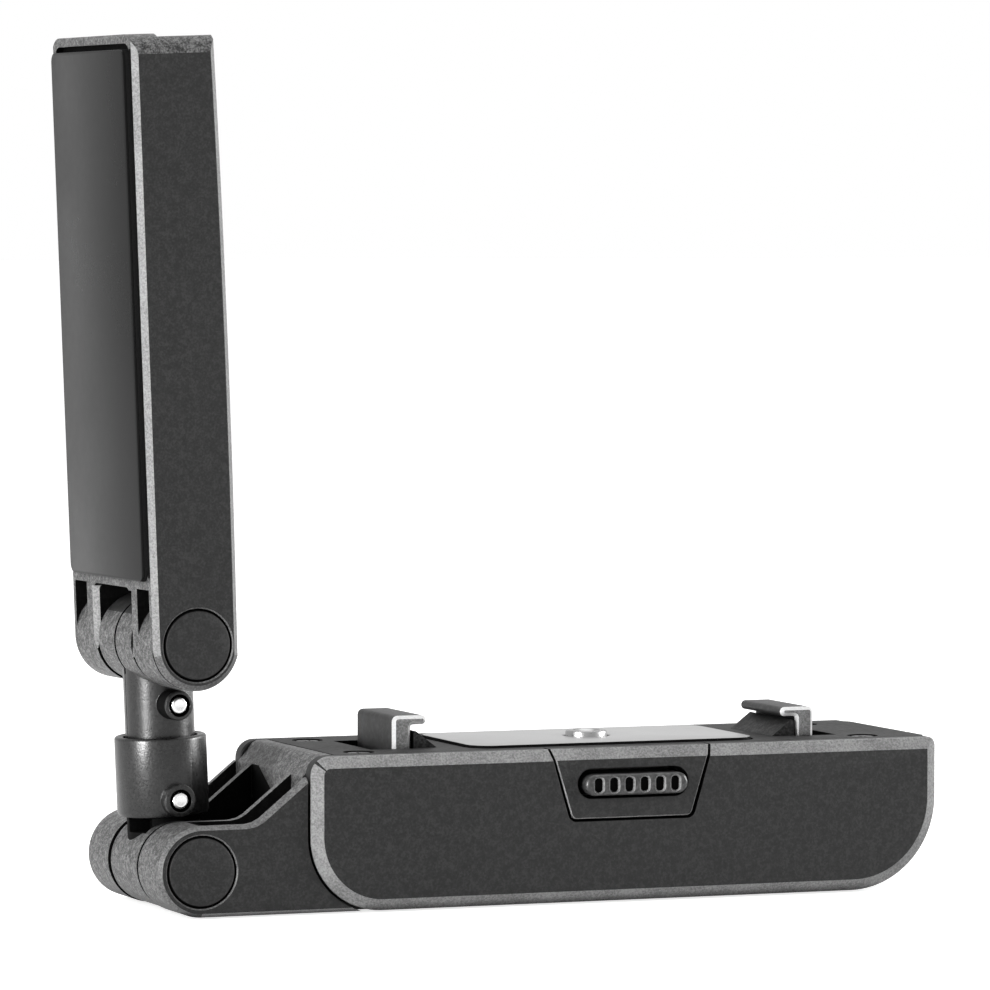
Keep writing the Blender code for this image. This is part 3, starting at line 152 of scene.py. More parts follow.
class Tree:
    """A material's nodes, with short ways to add and join them."""

    def __init__(self, name):
        self.material = bpy.data.materials.new(name)
        self.material.use_nodes = True
        self.nodes = self.material.node_tree.nodes
        self.links = self.material.node_tree.links
        self.shader = self.nodes["Principled BSDF"]

    def add(self, kind, **values):
        node = self.nodes.new("ShaderNode" + kind)
        for key, value in values.items():
            setattr(node, key, value)
        return node

    def link(self, out, into):
        self.links.new(out, into)

    def place(self, stretch=None):
        coords = self.add("TexCoord").outputs["Object"]
        if stretch is None:
            return coords
        mapping = self.add("Mapping")
        mapping.inputs["Scale"].default_value = stretch
        self.link(coords, mapping.inputs["Vector"])
        return mapping.outputs["Vector"]

    def noise(self, scale, detail, roughness, stretch=None):
        node = self.add("TexNoise")
        node.inputs["Scale"].default_value = scale
        node.inputs["Detail"].default_value = detail
        node.inputs["Roughness"].default_value = roughness
        self.link(self.place(stretch), node.inputs["Vector"])
        return node.outputs["Fac"]

    def ramp(self, value, *stops):
        node = self.add("ValToRGB")
        band = node.color_ramp
        while len(band.elements) < len(stops):
            band.elements.new(0.5)
        for element, (at, colour) in zip(band.elements, stops):
            element.position = at
            element.color = (*colour, 1.0) if isinstance(colour, tuple) else (colour, colour, colour, 1.0)
        self.link(value, node.inputs["Fac"])
        return node.outputs["Color"]

    def spread(self, value, low, high, out_low, out_high):
        node = self.add("MapRange")
        for key, number in (("From Min", low), ("From Max", high), ("To Min", out_low), ("To Max", out_high)):
            node.inputs[key].default_value = number
        self.link(value, node.inputs["Value"])
        return node.outputs["Result"]

    def sum(self, a, b, share):
        """a plus b times a share."""
        node = self.add("Math", operation="MULTIPLY_ADD")
        self.link(b, node.inputs[0])
        node.inputs[1].default_value = share
        self.link(a, node.inputs[2])
        return node.outputs[0]

    def blend(self, a, b, mask):
        node = self.add("Mix", data_type="RGBA")
        self.link(mask, node.inputs["Factor"])
        self.link(a, node.inputs[6])
        self.link(b, node.inputs[7])
        return node.outputs[2]

    def rounded(self, radius):
        node = self.add("Bevel", samples=6)
        node.inputs["Radius"].default_value = radius * MM
        return node.outputs["Normal"]

    def edges(self, radius, low, high):
        """A mask that is 1 along edges, from how far the rounded normal turns from the face's own."""
        product = self.add("VectorMath", operation="DOT_PRODUCT")
        self.link(self.rounded(radius), product.inputs[0])
        self.link(self.add("NewGeometry").outputs["Normal"], product.inputs[1])
        return self.spread(product.outputs["Value"], low, high, 1.0, 0.0)

    def painted_crevice_shade(self, colour, specular, reach=2.2):
        """Paints shade into the colour where other surfaces are close in front, and sets the gloss."""
        near = self.add("AmbientOcclusion", samples=6)
        near.inputs["Distance"].default_value = reach * MM
        dark = self.add("Mix", data_type="RGBA")
        self.link(self.spread(near.outputs["AO"], 0.3, 0.85, 0.08, 1.0), dark.inputs["Factor"])
        dark.inputs[6].default_value = (0.0, 0.0, 0.0, 1.0)
        self.link(colour, dark.inputs[7])
        self.link(dark.outputs[2], self.shader.inputs["Base Color"])
        self.set(Specular_IOR_Level=specular)

    def bump(self, height, depth, normal=None):
        node = self.add("Bump")
        node.inputs["Distance"].default_value = depth * MM
        self.link(height, node.inputs["Height"])
        if normal is not None:
            self.link(normal, node.inputs["Normal"])
        self.link(node.outputs["Normal"], self.shader.inputs["Normal"])

    def set(self, **values):
        for key, value in values.items():
            self.shader.inputs[key.replace("_", " ")].default_value = value


def plastic(name, colour, rough, grain, depth, specular=0.3, wear=0.3, edge_highlight_colour=0.16, contrast=1.0):
    """Moulded plastic: an eroded grain, slow shade changes, edges painted lighter as a painted highlight, and
    painted shade in crevices.
    """
    t = Tree(name)
    fine = t.noise(grain, 2.0, 0.6)
    coarse = t.noise(grain * 0.33, 2.0, 0.5)
    slow = t.noise(130.0, 3.0, 0.5)
    mixed = t.sum(fine, coarse, 0.6)
    dark, bright = colour * (1 - 0.4 * contrast), colour * (1 + 0.8 * contrast)
    body = t.ramp(mixed, (0.62, dark), (0.8, colour), (0.98, bright))
    # The lighter colour along the edges is a painted highlight; the wear share sets how strong it is
    light = t.ramp(fine, (0.42, colour * 1.6), (0.62, edge_highlight_colour))
    mask = t.add("Math", operation="MULTIPLY")
    t.link(t.edges(0.22, 0.80, 0.995), mask.inputs[0])
    t.link(t.spread(slow, 0.35, 0.65, wear * 0.6, wear), mask.inputs[1])
    t.painted_crevice_shade(t.blend(body, light, mask.outputs[0]), specular)
    dull = t.spread(t.sum(fine, slow, 0.5), 0.5, 1.0, rough - 0.07, rough + 0.09)
    t.link(dull, t.shader.inputs["Roughness"])
    t.bump(mixed, depth, normal=t.rounded(0.12))
    return t.material


def painted_highlight_edge(name, dark, light, grain):
    """The same plastic along a bevel, where the grain is painted to a light speckle as a painted highlight.
    """
    rough = 0.45
    t = Tree(name)
    fine = t.noise(grain, 3.0, 0.65)
    slow = t.noise(260.0, 2.0, 0.5)
    body = t.ramp(t.sum(fine, slow, 0.35), (0.5, dark), (0.68, (dark + light) / 2), (0.84, light))
    t.painted_crevice_shade(body, 0.14, 1.2)
    t.link(t.spread(fine, 0.3, 0.7, rough - 0.1, rough + 0.12), t.shader.inputs["Roughness"])
    t.bump(fine, 0.05)
    return t.material


def steel(name, colour, rough, stretch=None, grain=2600.0):
    """Bare steel, with fine lines where it is stretched."""
    t = Tree(name)
    t.set(Metallic=1.0)
    lines = t.noise(grain, 3.0, 0.6, stretch)
    slow = t.noise(170.0, 2.0, 0.5)
    body = t.ramp(t.sum(lines, slow, 0.5), (0.45, colour * 0.86), (1.0, colour))
    t.link(body, t.shader.inputs["Base Color"])
    t.link(t.spread(lines, 0.3, 0.7, rough - 0.05, rough + 0.08), t.shader.inputs["Roughness"])
    t.bump(lines, 0.006, normal=t.rounded(0.06))
    return t.material


def foam():
    """Closed-cell foam, cut open at its edge."""
    t = Tree("foam_black")
    t.set(Specular_IOR_Level=0.15, Roughness=0.85)
    cells = t.add("TexVoronoi")
    cells.inputs["Scale"].default_value = 4200.0
    t.link(t.place(), cells.inputs["Vector"])
    t.link(t.ramp(cells.outputs["Distance"], (0.1, 0.0015), (0.6, 0.004)), t.shader.inputs["Base Color"])
    t.bump(cells.outputs["Distance"], 0.04)
    return t.material


def film():
    """Smooth liner film, very slightly wavy from the foam under it."""
    t = Tree("film_grey")
    t.set(Specular_IOR_Level=0.09)
    slow = t.noise(60.0, 2.0, 0.5)
    fine = t.noise(900.0, 2.0, 0.5)
    t.link(t.ramp(slow, (0.3, 0.006), (0.7, 0.009)), t.shader.inputs["Base Color"])
    t.link(t.spread(t.sum(slow, fine, 0.3), 0.45, 0.85, 0.26, 0.34), t.shader.inputs["Roughness"])
    t.bump(t.sum(slow, fine, 0.05), 0.02)
    return t.material


def resin(name, colour):
    t = Tree(name)
    slow = t.noise(400.0, 3.0, 0.5)
    t.link(t.ramp(slow, (0.3, tuple(c * 0.85 for c in colour)), (0.7, colour)), t.shader.inputs["Base Color"])
    t.link(t.spread(slow, 0.3, 0.7, 0.42, 0.55), t.shader.inputs["Roughness"])
    t.bump(slow, 0.01, normal=t.rounded(0.1))
    return t.material


# The shell grey is a lit copy, set light for the sides that face the left lamps
SHELL = plastic("shell_plastic", 0.088, 0.5, 5000.0, 0.03, wear=0.6, contrast=2.0)
# The tube copy is the same plastic darkened as painted shade on turned pieces, under the gloss lamps'
# highlight
SHADED_TUBE = plastic("shaded_tube_plastic", 0.009, 0.31, 4600.0, 0.014, specular=0.42, wear=0.2, edge_highlight_colour=0.06, contrast=1.3)
# The face copy is the same plastic in painted shade, for flat front and back faces; the cover plastic is the
# covers' own grey
SHADED_FACE, COVER = [plastic(name, 0.018, 0.55, 4200.0, 0.015, specular=0.24, edge_highlight_colour=0.05)
               for name in ("shaded_face_plastic", "cover_plastic")]
# The deck copy is the shell plastic darker and duller, painted shade on the deck top seen at a low angle
DECK = plastic("deck_plastic", 0.04, 0.55, 4200.0, 0.015, specular=0.06, edge_highlight_colour=0.1)
CLAW = plastic("claw_plastic", 0.026, 0.45, 4200.0, 0.01, specular=0.2, edge_highlight_colour=0.06)
KEY = plastic("button_plastic", 0.05, 0.36, 3200.0, 0.015, specular=0.4, wear=0.8, edge_highlight_colour=0.3)
# Near-black copy of the plastic: painted shade in recesses, slots, bores, pockets and gaps, and the dark
# joint lines between parts
SHADE_AND_JOINT = plastic("shade_and_joint_plastic", 0.003, 0.7, 2600.0, 0.02, specular=0.04, wear=0.1, edge_highlight_colour=0.005)
# The three edge looks are painted highlights on bevels and chamfers, from dim grey to white
EDGE_HIGHLIGHT = painted_highlight_edge("edge_plastic", 0.19, 0.42, 4400.0)
SOFT_EDGE_HIGHLIGHT = painted_highlight_edge("soft_edge_plastic", 0.09, 0.26, 4400.0)
WHITE_EDGE_HIGHLIGHT = painted_highlight_edge("white_edge_plastic", 0.85, 0.98, 3800.0)
STEEL = steel("bright_steel", 0.72, 0.22)
DULL_STEEL = steel("dull_steel", 0.1, 0.4)
BRUSHED = steel("brushed_plate", 0.38, 0.35, (1.0, 14.0, 1.0), 900.0)
STUD = steel("stud_steel", 0.3, 0.3)
SPRING = steel("spring_steel", 0.55, 0.3)
NYLON = resin("nylon", (0.72, 0.72, 0.68))
FOAM = foam()
FILM = film()


# Shapes

def placed(name, data):
    thing = bpy.data.objects.new(name, data)
    bpy.context.scene.collection.objects.link(thing)
    return thing


def finish(name, mesh, *looks):
    for look in looks:
        mesh.materials.append(look)
    return placed(name, mesh)


def mesh_of(bm, name):
    bmesh.ops.recalc_face_normals(bm, faces=bm.faces[:])
    if bm.calc_volume(signed=True) < 0:
        bmesh.ops.reverse_faces(bm, faces=bm.faces[:])
    mesh = bpy.data.meshes.new(name)
    bm.to_mesh(mesh)
    bm.free()
    return mesh


def loft(rings, looks=(), caps=(0, 0), capped=True):
    """A closed body through rings of points; looks and caps name the material slot of each band and end."""
    bm = bmesh.new()
    loops = [[bm.verts.new(Vector(point) * MM) for point in ring] for ring in rings]
    count = len(loops[0])
    pairs = list(zip(loops, loops[1:]))
    if not capped:
        pairs.append((loops[-1], loops[0]))
    for k, (low, high) in enumerate(pairs):
        for i in range(count):
            j = (i + 1) % count
            face = bm.faces.new((low[i], low[j], high[j], high[i]))
            face.material_index = looks[k] if k < len(looks) else 0
    if capped:
        bm.faces.new(loops[0]).material_index = caps[0]
        bm.faces.new(loops[-1]).material_index = caps[1]
    return bm


def prism_y(outline, y0, y1):
    return loft([[(x, y, z) for x, z in outline] for y in (y0, y1)])


def prism_z(outline, z0, z1):
    return loft([[(x, y, z) for x, y in outline] for z in (z0, z1)])


def prism_x(outline, x0, x1):
    return loft([[(x, y, z) for y, z in outline] for x in (x0, x1)])


def block(x0, x1, y0, y1, z0, z1):
    return prism_z([(x0, y0), (x1, y0), (x1, y1), (x0, y1)], z0, z1)


def turned(profile, steps=TURNED_STEPS, looks=()):
    """A body turned about Z from (radius, height) points."""
    on_axis = profile[0][0] == 0
    points = profile[1:-1] if on_axis else profile
    angles = [math.tau * (i + 0.5) / steps for i in range(steps)]
    rings = [[(r * math.cos(a), r * math.sin(a), h) for a in angles] for r, h in points]
    return loft(rings, looks, capped=on_axis)


def along_y(bm, x=0.0, z=0.0):
    turn = Matrix.Translation(Vector((x, 0.0, z)) * MM) @ Matrix.Rotation(-math.pi / 2, 4, "X")
    bmesh.ops.transform(bm, matrix=turn, verts=bm.verts[:])
    return bm


def rod_y(radius, y0, y1, x=0.0, z=0.0, steps=BARREL_STEPS):
    return along_y(turned([(0, y0), (radius, y0), (radius, y1), (0, y1)], steps), x, z)


def rod_z(radius, z0, z1, x=0.0, y=0.0, steps=BARREL_STEPS):
    bm = turned([(0, z0), (radius, z0), (radius, z1), (0, z1)], steps)
    bmesh.ops.translate(bm, vec=Vector((x, y, 0.0)) * MM, verts=bm.verts[:])
    return bm


def arc(x, z, radius, start, end, steps):
    angles = [math.radians(start + (end - start) * i / steps) for i in range(steps + 1)]
    return [(x + radius * math.cos(a), z + radius * math.sin(a)) for a in angles]


def groove(x, z, radius, depth, start, end, y0, y1):
    """A shallow round cutter along Y for a dark line round a barrel."""
    steps, clear = 40, 0.4
    ring = arc(x, z, radius - depth, start, end, steps) + arc(x, z, radius + clear, end, start, steps)
    return prism_y(ring, y0, y1)


def rounded_box(x0, x1, z0, z1, radii, inset=0.0, steps=(8, 8, 8, 8)):
    """Outline with its own radius at each corner: low left, low right, top right, top left."""
    x0, x1, z0, z1 = x0 + inset, x1 - inset, z0 + inset, z1 - inset
    least = 0.12
    a, b, c, d = [max(radius - inset, least) for radius in radii]
    points = arc(x0 + a, z0 + a, a, 180, 270, steps[0]) + arc(x1 - b, z0 + b, b, 270, 360, steps[1])
    return points + arc(x1 - c, z1 - c, c, 0, 90, steps[2]) + arc(x0 + d, z1 - d, d, 90, 180, steps[3])


def racetrack(x, z, width, height, inset=0.0):
    steps = 16
    radius = height / 2 - inset
    half = width / 2 - height / 2
    return arc(x + half, z, radius, -90, 90, steps) + arc(x - half, z, radius, 90, 270, steps)


def inset_outline(points, distance):
    """The outline moved inwards by a distance, with mitred corners."""
    count = len(points)
    area = sum(points[i - 1][0] * points[i][1] - points[i][0] * points[i - 1][1] for i in range(count))
    turn = 1.0 if area > 0 else -1.0
    found = []
    for i in range(count):
        here = Vector(points[i])
        before = (here - Vector(points[i - 1])).normalized()
        after = (Vector(points[(i + 1) % count]) - here).normalized()
        normal = Vector((-before.y - after.y, before.x + after.x)).normalized() * turn
        reach = distance / max(0.3, normal.dot(Vector((-before.y, before.x)) * turn))
        found.append(tuple(here + normal * reach))
    return found


def bevelled_y(outline, half, edge):
    """An XZ outline through Y, its front and rear edges chamfered into the second slot."""
    inner = inset_outline(outline, edge)
    levels = ((-half, inner), (edge - half, outline), (half - edge, outline), (half, inner))
    return loft([[(x, y, z) for x, z in points] for y, points in levels], (1, 0, 1))


def slot_of(piece, look):
    return piece.data.materials.find(look.name)


def combine(target, bm, operation, look):
    """Applies a Boolean; the faces that the body in bm leaves behind get the look, if one is given."""
    if look is not None:
        for face in bm.faces:
            face.material_index = slot_of(target, look)
    helper = finish("helper", mesh_of(bm, "helper"), *target.data.materials)
    modifier = target.modifiers.new("combine", "BOOLEAN")
    modifier.object = helper
    modifier.operation = operation
    modifier.solver = "EXACT"
    graph = bpy.context.evaluated_depsgraph_get()
    result = bpy.data.meshes.new_from_object(target.evaluated_get(graph))
    target.modifiers.clear()
    old, name = target.data, target.data.name
    target.data = result
    bpy.data.meshes.remove(old)
    result.name = name
    leftover = helper.data
    bpy.data.objects.remove(helper, do_unlink=True)
    bpy.data.meshes.remove(leftover)


def cut(target, *bodies, look=None):
    for bm in bodies:
        combine(target, bm, "DIFFERENCE", look)


def add(target, *bodies, look=None):
    for bm in bodies:
        combine(target, bm, "UNION", look)


def soften(target, angle=35.0):
    """Smooth shading, except across edges sharper than the angle."""
    target.data.shade_smooth()
    target.data.set_sharp_from_angle(angle=math.radians(angle))
    return target


def facing(bm, side):
    """A body turned about Z, flipped upside down for side -1."""
    bmesh.ops.scale(bm, vec=(1, 1, side), verts=bm.verts[:])
    return bm


def wear(piece, body, slot, *nodes, place=None):
    """Puts a finished piece on its body, in the place of its nodes."""
    if place is not None:
        piece.data.transform(place)
    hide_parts(*nodes)
    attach(piece, body)
    return piece


def paint(piece, look, test):
    """Gives a look to the faces whose centre, in millimetres, and normal pass the test."""
    slot = slot_of(piece, look)
    for face in piece.data.polygons:
        if test(face.center / MM, face.normal):
            face.material_index = slot


def paint_sides(piece, look, half):
    """Gives a look to the flat faces on the front and back of a piece, half its depth away."""
    paint(piece, look, lambda c, n: abs(n.y) > 0.99 and abs(c.y) > half - 0.05)


def shown(node, bm, *looks):
    """The piece that is shown in the place of a node."""
    return finish(node + "_shown", mesh_of(bm, node + "_shown"), *looks)


# Pieces of the base

def cover_outline(inset):
    return rounded_box(COVER_LEFT, COVER_RIGHT, COVER_LIFT, COVER_TOP, COVER_RADII, inset, COVER_STEPS)


def cover_body(side):
    back, chamfer = WALL_FACE + 0.05, 0.15
    levels = ((back, chamfer), (back + chamfer, 0.0), (HALF_DEPTH - 0.06, 0.0), (HALF_DEPTH + 0.04, 0.06),
              (COVER_FACE - 0.05, COVER_BEVEL - 0.07), (COVER_FACE, COVER_BEVEL + 0.05))
    rings = [[(x, side * y, z) for x, z in cover_outline(inset)] for y, inset in levels]
    # The bevel bands take the second look, a painted highlight
    return loft(rings, (0, 0, 1, 1, 1))


def frame_outline():
    points = arc(HINGE.x, HINGE.z, LUG_RADIUS, 270, 90, steps=48)
    points += [(HINGE.x + LUG_FLAT + x, 2 * LUG_RADIUS + z) for x, z in SLOPE_START]
    points.append((COVER_LEFT - 0.1, RIM_TOP))
    points += [(CREST_X + x, DECK_TOP + z) for x, z in CREST_ROUND]
    points += [(DECK_LEFT - GAP, DECK_TOP), (DECK_LEFT - GAP, RIM_TOP), (FRAME_RIGHT, RIM_TOP)]
    return points + arc(FRAME_RIGHT - FRAME_RADIUS, FRAME_RADIUS, FRAME_RADIUS, 0, -90, steps=24)


def hinge_bores(half_depth, x=0.0, z=0.0):
    """The bolt's bore, and at both ends room for its head and a seat for the cap."""
    out = half_depth + OVER
    bodies = [rod_y(BOLT_BORE, -out, out, x, z, HOLE_STEPS)]
    for side in (-1, 1):
        for radius, depth in ((HEAD_BORE, HEAD_DEPTH), (SEAT_RADIUS, SEAT_DEPTH)):
            ends = sorted((side * (half_depth - depth), side * out))
            bodies.append(rod_y(radius, *ends, x, z, ROUND_STEPS))
    return bodies


def seat_rims(half_depth, x=0.0, z=0.0):
    """Small cones that break the edge round each cap."""
    low, high = half_depth - SEAT_REACH, half_depth + SEAT_REACH
    narrow, wide = SEAT_RADIUS + SEAT_BREAK - SEAT_REACH, SEAT_RADIUS + SEAT_BREAK + SEAT_REACH
    cone = [(0, low), (narrow, low), (wide, high), (0, high)]
    return [along_y(facing(turned(cone, ROUND_STEPS), side), x, z) for side in (-1, 1)]


def lug_pocket(y0, y1):
    down = math.degrees(math.asin((HINGE.z - POCKET_FLOOR) / BARREL_RADIUS))
    outline = arc(HINGE.x, HINGE.z, BARREL_RADIUS, 90, -down, steps=40)
    outline += [(COVER_LEFT - GAP, POCKET_FLOOR), (COVER_LEFT - GAP, COVER_TOP), (HINGE.x, COVER_TOP)]
    return prism_y(outline, y0, y1)


def swing_space():
    """Room for the lower knuckle between the lugs."""
    lug_end = HINGE.x - LUG_RADIUS - OVER
    floor_start = HINGE.x + KNUCKLE_RADIUS + 2 * GAP
    under = arc(HINGE.x, HINGE.z, BARREL_RADIUS, -10, -90, steps=24)
    under += [(HINGE.x, -OVER), (floor_start, -OVER), (floor_start, under[0][1])]
    return [block(lug_end, COVER_LEFT - GAP, -LUG_INNER, LUG_INNER, POCKET_FLOOR, COVER_TOP),
            block(lug_end, floor_start, -LUG_INNER, LUG_INNER, -OVER, POCKET_FLOOR + OVER),
            lug_pocket(-RIB_INNER, RIB_INNER), prism_y(under, -RIB_INNER, RIB_INNER)]


def cavity():
    outline = rounded_box(-CAVITY_END, CAVITY_END, CAVITY_FLOOR, DECK_TOP + OVER, CAVITY_RADII,
                          steps=(4, 12, 1, 1))
    return prism_y(outline, -CAVITY_HALF, CAVITY_HALF)


def button_opening(y0, y1):
    return prism_y(racetrack(*BUTTON_SLOT), y0, y1)


def screw_bosses(body):
    for x, y in SCREWS:
        add(body, rod_z(BOSS_RADIUS, BOSS_FOOT, RIM_TOP - 0.1, x, y, steps=24))
        cut(body, rod_z(SCREW_BORE, RIM_TOP - BOSS_DEPTH, RIM_TOP + OVER, x, y, steps=16))


def slide_rails(body):
    for side in (-1, 1):
        ends = sorted((side * RAIL_INNER, side * RAIL_OUTER))
        # The rails inside the cavity are painted dark as shade
        add(body, block(-RAIL_END, RAIL_END, *ends, RAIL_FLOOR, RAIL_TOP), look=SHADE_AND_JOINT)


def foot_edge(c, n):
    """Whether a face belongs to the frame's lower front chamfer, right of the lug, which is painted white as
    a painted reflection of the floor.
    """
    return n.y < -0.3 and n.z < -0.3 and c.z < 1.0 and c.x > HINGE.x + 0.5


def base_frame():
    solid = bevelled_y(frame_outline(), HALF_DEPTH, FRAME_EDGE)
    body = shown("base_frame", solid, SHELL, SOFT_EDGE_HIGHLIGHT, SHADED_FACE, SHADE_AND_JOINT, WHITE_EDGE_HIGHLIGHT)
    for side in (-1, 1):
        ends = sorted((side * WALL_FACE, side * (HALF_DEPTH + OVER)))
        cut(body, prism_y(cover_outline(-GAP), *ends))
    # The cavity, swing room, pockets, bores and button opening are painted dark as shade, and the seam as a
    # dark joint line
    cut(body, cavity(), *swing_space(), look=SHADE_AND_JOINT)
    for side in (-1, 1):
        ends = sorted((side * (RIB_INNER + RIB_THICKNESS), side * (HALF_DEPTH - LUG_WALL)))
        cut(body, lug_pocket(*ends), look=SHADE_AND_JOINT)
    cut(body, *hinge_bores(HALF_DEPTH, HINGE.x, HINGE.z), look=SHADE_AND_JOINT)
    # The cones round the caps are painted as a light ring, a painted highlight
    cut(body, *seat_rims(HALF_DEPTH, HINGE.x, HINGE.z), look=SOFT_EDGE_HIGHLIGHT)
    screw_bosses(body)
    slide_rails(body)
    cut(body, button_opening(-WALL_FACE - OVER, -CAVITY_HALF + OVER), look=SHADE_AND_JOINT)
    seam = groove(HINGE.x, HINGE.z, LUG_RADIUS, depth=0.12, start=75, end=262, y0=-LUG_INNER - 0.35,
                  y1=-LUG_INNER + 0.05)
    cut(body, seam, look=SHADE_AND_JOINT)
    # Flat front and back faces get the darker face copy as painted shade, and the lower front chamfer a
    # painted white reflection
    paint_sides(body, SHADED_FACE, HALF_DEPTH)
    paint(body, WHITE_EDGE_HIGHLIGHT, foot_edge)
    wall = COVER_LEFT - GAP
    # The end wall between the lugs gets the shell grey, and its lower part a painted shadow with a slanting
    # upper edge, cut in very shallow
    paint(body, SHELL, lambda c, n: n.x < -0.99 and abs(c.x - wall) < 0.05)
    cut(body, prism_x(WALL_PAINTED_SHADOW, wall - 1.0, wall + 0.06), look=SHADE_AND_JOINT)
    return wear(soften(body), "base", "shell_plastic", "base_frame")


def bezel_outline(margin=0.0, top=COVER_TOP, inset=0.0):
    half_top, half_foot, foot = BEZEL_TOP + margin, BEZEL_FOOT + margin, BEZEL_BOTTOM - margin
    lean = (half_top - half_foot) / (COVER_TOP - foot)
    reach = half_foot + lean * (top - foot)
    radius = BEZEL_RADIUS + margin
    centre = half_foot - radius * (math.hypot(1.0, lean) - lean)
    turn = 90.0 - math.degrees(math.atan(lean))
    points = [(BEZEL_X + reach, top), (BEZEL_X - reach, top)]
    points += arc(BEZEL_X - centre, foot + radius, radius, 270 - turn, 270, steps=8)
    points += arc(BEZEL_X + centre, foot + radius, radius, 270, 270 + turn, steps=8)
    return inset_outline(points, inset) if inset else points


def left_corner(c, n):
    """Whether a face is the narrow middle of the front cover's round upper left corner, which keeps the dark
    cover grey as a painted shade between the painted highlights.
    """
    near = c.z > COVER_TOP - COVER_CORNER and c.x < COVER_LEFT + COVER_CORNER
    return n.y < -0.3 and near and CORNER_SLOPES[0] < -n.x / max(n.z, 0.01) < CORNER_SLOPES[1]


def front_cover():
    body = shown("front_cover", cover_body(-1), COVER, EDGE_HIGHLIGHT, SHADE_AND_JOINT)
    window = prism_y(bezel_outline(GAP, COVER_TOP + OVER), -COVER_FACE - OVER, -WALL_FACE + OVER)
    # The window behind the bezel is painted dark as shade
    cut(body, window, look=SHADE_AND_JOINT)
    paint(body, COVER, left_corner)
    return wear(soften(body, angle=20.0), "base", "cover_plastic", "front_cover")


def rear_cover():
    body = shown("rear_cover", cover_body(1), COVER, EDGE_HIGHLIGHT)
    return wear(soften(body, angle=20.0), "base", "cover_plastic", "rear_cover")


def button_bezel():
    chamfer = 0.12
    levels = ((COVER_FACE, chamfer), (COVER_FACE - chamfer, 0.0), (COVER_BACK, 0.0))
    rings = [[(x, -y, z) for x, z in bezel_outline(inset=inset)] for y, inset in levels]
    # The chamfer band is a painted highlight, and the opening is painted dark as shade
    body = shown("button_bezel", loft(rings, (1, 0)), COVER, EDGE_HIGHLIGHT, SHADE_AND_JOINT)
    out, above, reach = -COVER_FACE - OVER, COVER_TOP + OVER, 20.0
    edge = [(out, COVER_TOP - COVER_BEVEL), (-COVER_FACE, COVER_TOP - COVER_BEVEL), (-HALF_DEPTH, COVER_TOP),
            (-HALF_DEPTH, above), (out, above)]
    cut(body, prism_x(edge, BUTTON[0] - reach, BUTTON[0] + reach))
    cut(body, button_opening(out, -COVER_BACK + OVER), look=SHADE_AND_JOINT)
    # The faces of the top bevel get the painted highlight too
    paint(body, EDGE_HIGHLIGHT, lambda c, n: n.z > 0.3 and n.y < -0.3 and c.z > COVER_TOP - COVER_BEVEL)
    return wear(soften(body), "base", "cover_plastic", "button_bezel")


def button_pit(x, z, face):
    """A cutter for one pit, painted dark inside as shade, with a rim painted light as a highlight."""
    rings = []
    for rise, grow in PIT_LEVELS:
        half_x, half_z = PIT_HALF_WIDTH + grow, PIT_HALF_HEIGHT + grow
        outline = rounded_box(x - half_x, x + half_x, z - half_z, z + half_z, (PIT_RADIUS + grow,) * 4,
                              steps=(5, 5, 5, 5))
        rings.append([(a, -face - rise, b) for a, b in outline])
    return loft(rings, (1, 2, 2), (1, 2))


def release_button():
    x, z, width, height = BUTTON
    face = COVER_FACE + BUTTON_RISE
    levels = ((face, 0.38), (face - 0.06, 0.2), (face - 0.2, 0.06), (face - 0.42, 0.0), (BUTTON_BACK, 0.0))
    rings = [[(a, -y, b) for a, b in racetrack(x, z, width, height, inset)] for y, inset in levels]
    body = shown("release_button", loft(rings), KEY, EDGE_HIGHLIGHT, SHADE_AND_JOINT)
    reach, foot = width / 2 + FLANGE_MARGIN, z - height / 2 - FLANGE_MARGIN
    add(body, block(x - reach, x + reach, -FLANGE_FACE, -FLANGE_BACK, foot, RIM_TOP))
    for i in range(PIT_COUNT):
        cut(body, button_pit(x + (i - (PIT_COUNT - 1) / 2) * PIT_PITCH, z, face))
    return wear(soften(body), "button", "button_plastic", "release_button")


def claw_ramp(side, inner):
    """The slope in front of a claw's opening."""
    toe = inner - RAMP_LENGTH
    ramp = [(toe, RAMP_FOOT), (inner, RAMP_FOOT), (inner, DECK_TOP + RAMP_HEIGHT),
            (inner - 0.25, DECK_TOP + RAMP_HEIGHT + 0.2), (toe, DECK_TOP + 0.02)]
    return prism_y([(side * x, z) for x, z in ramp], -CLAW_HALF, CLAW_HALF)


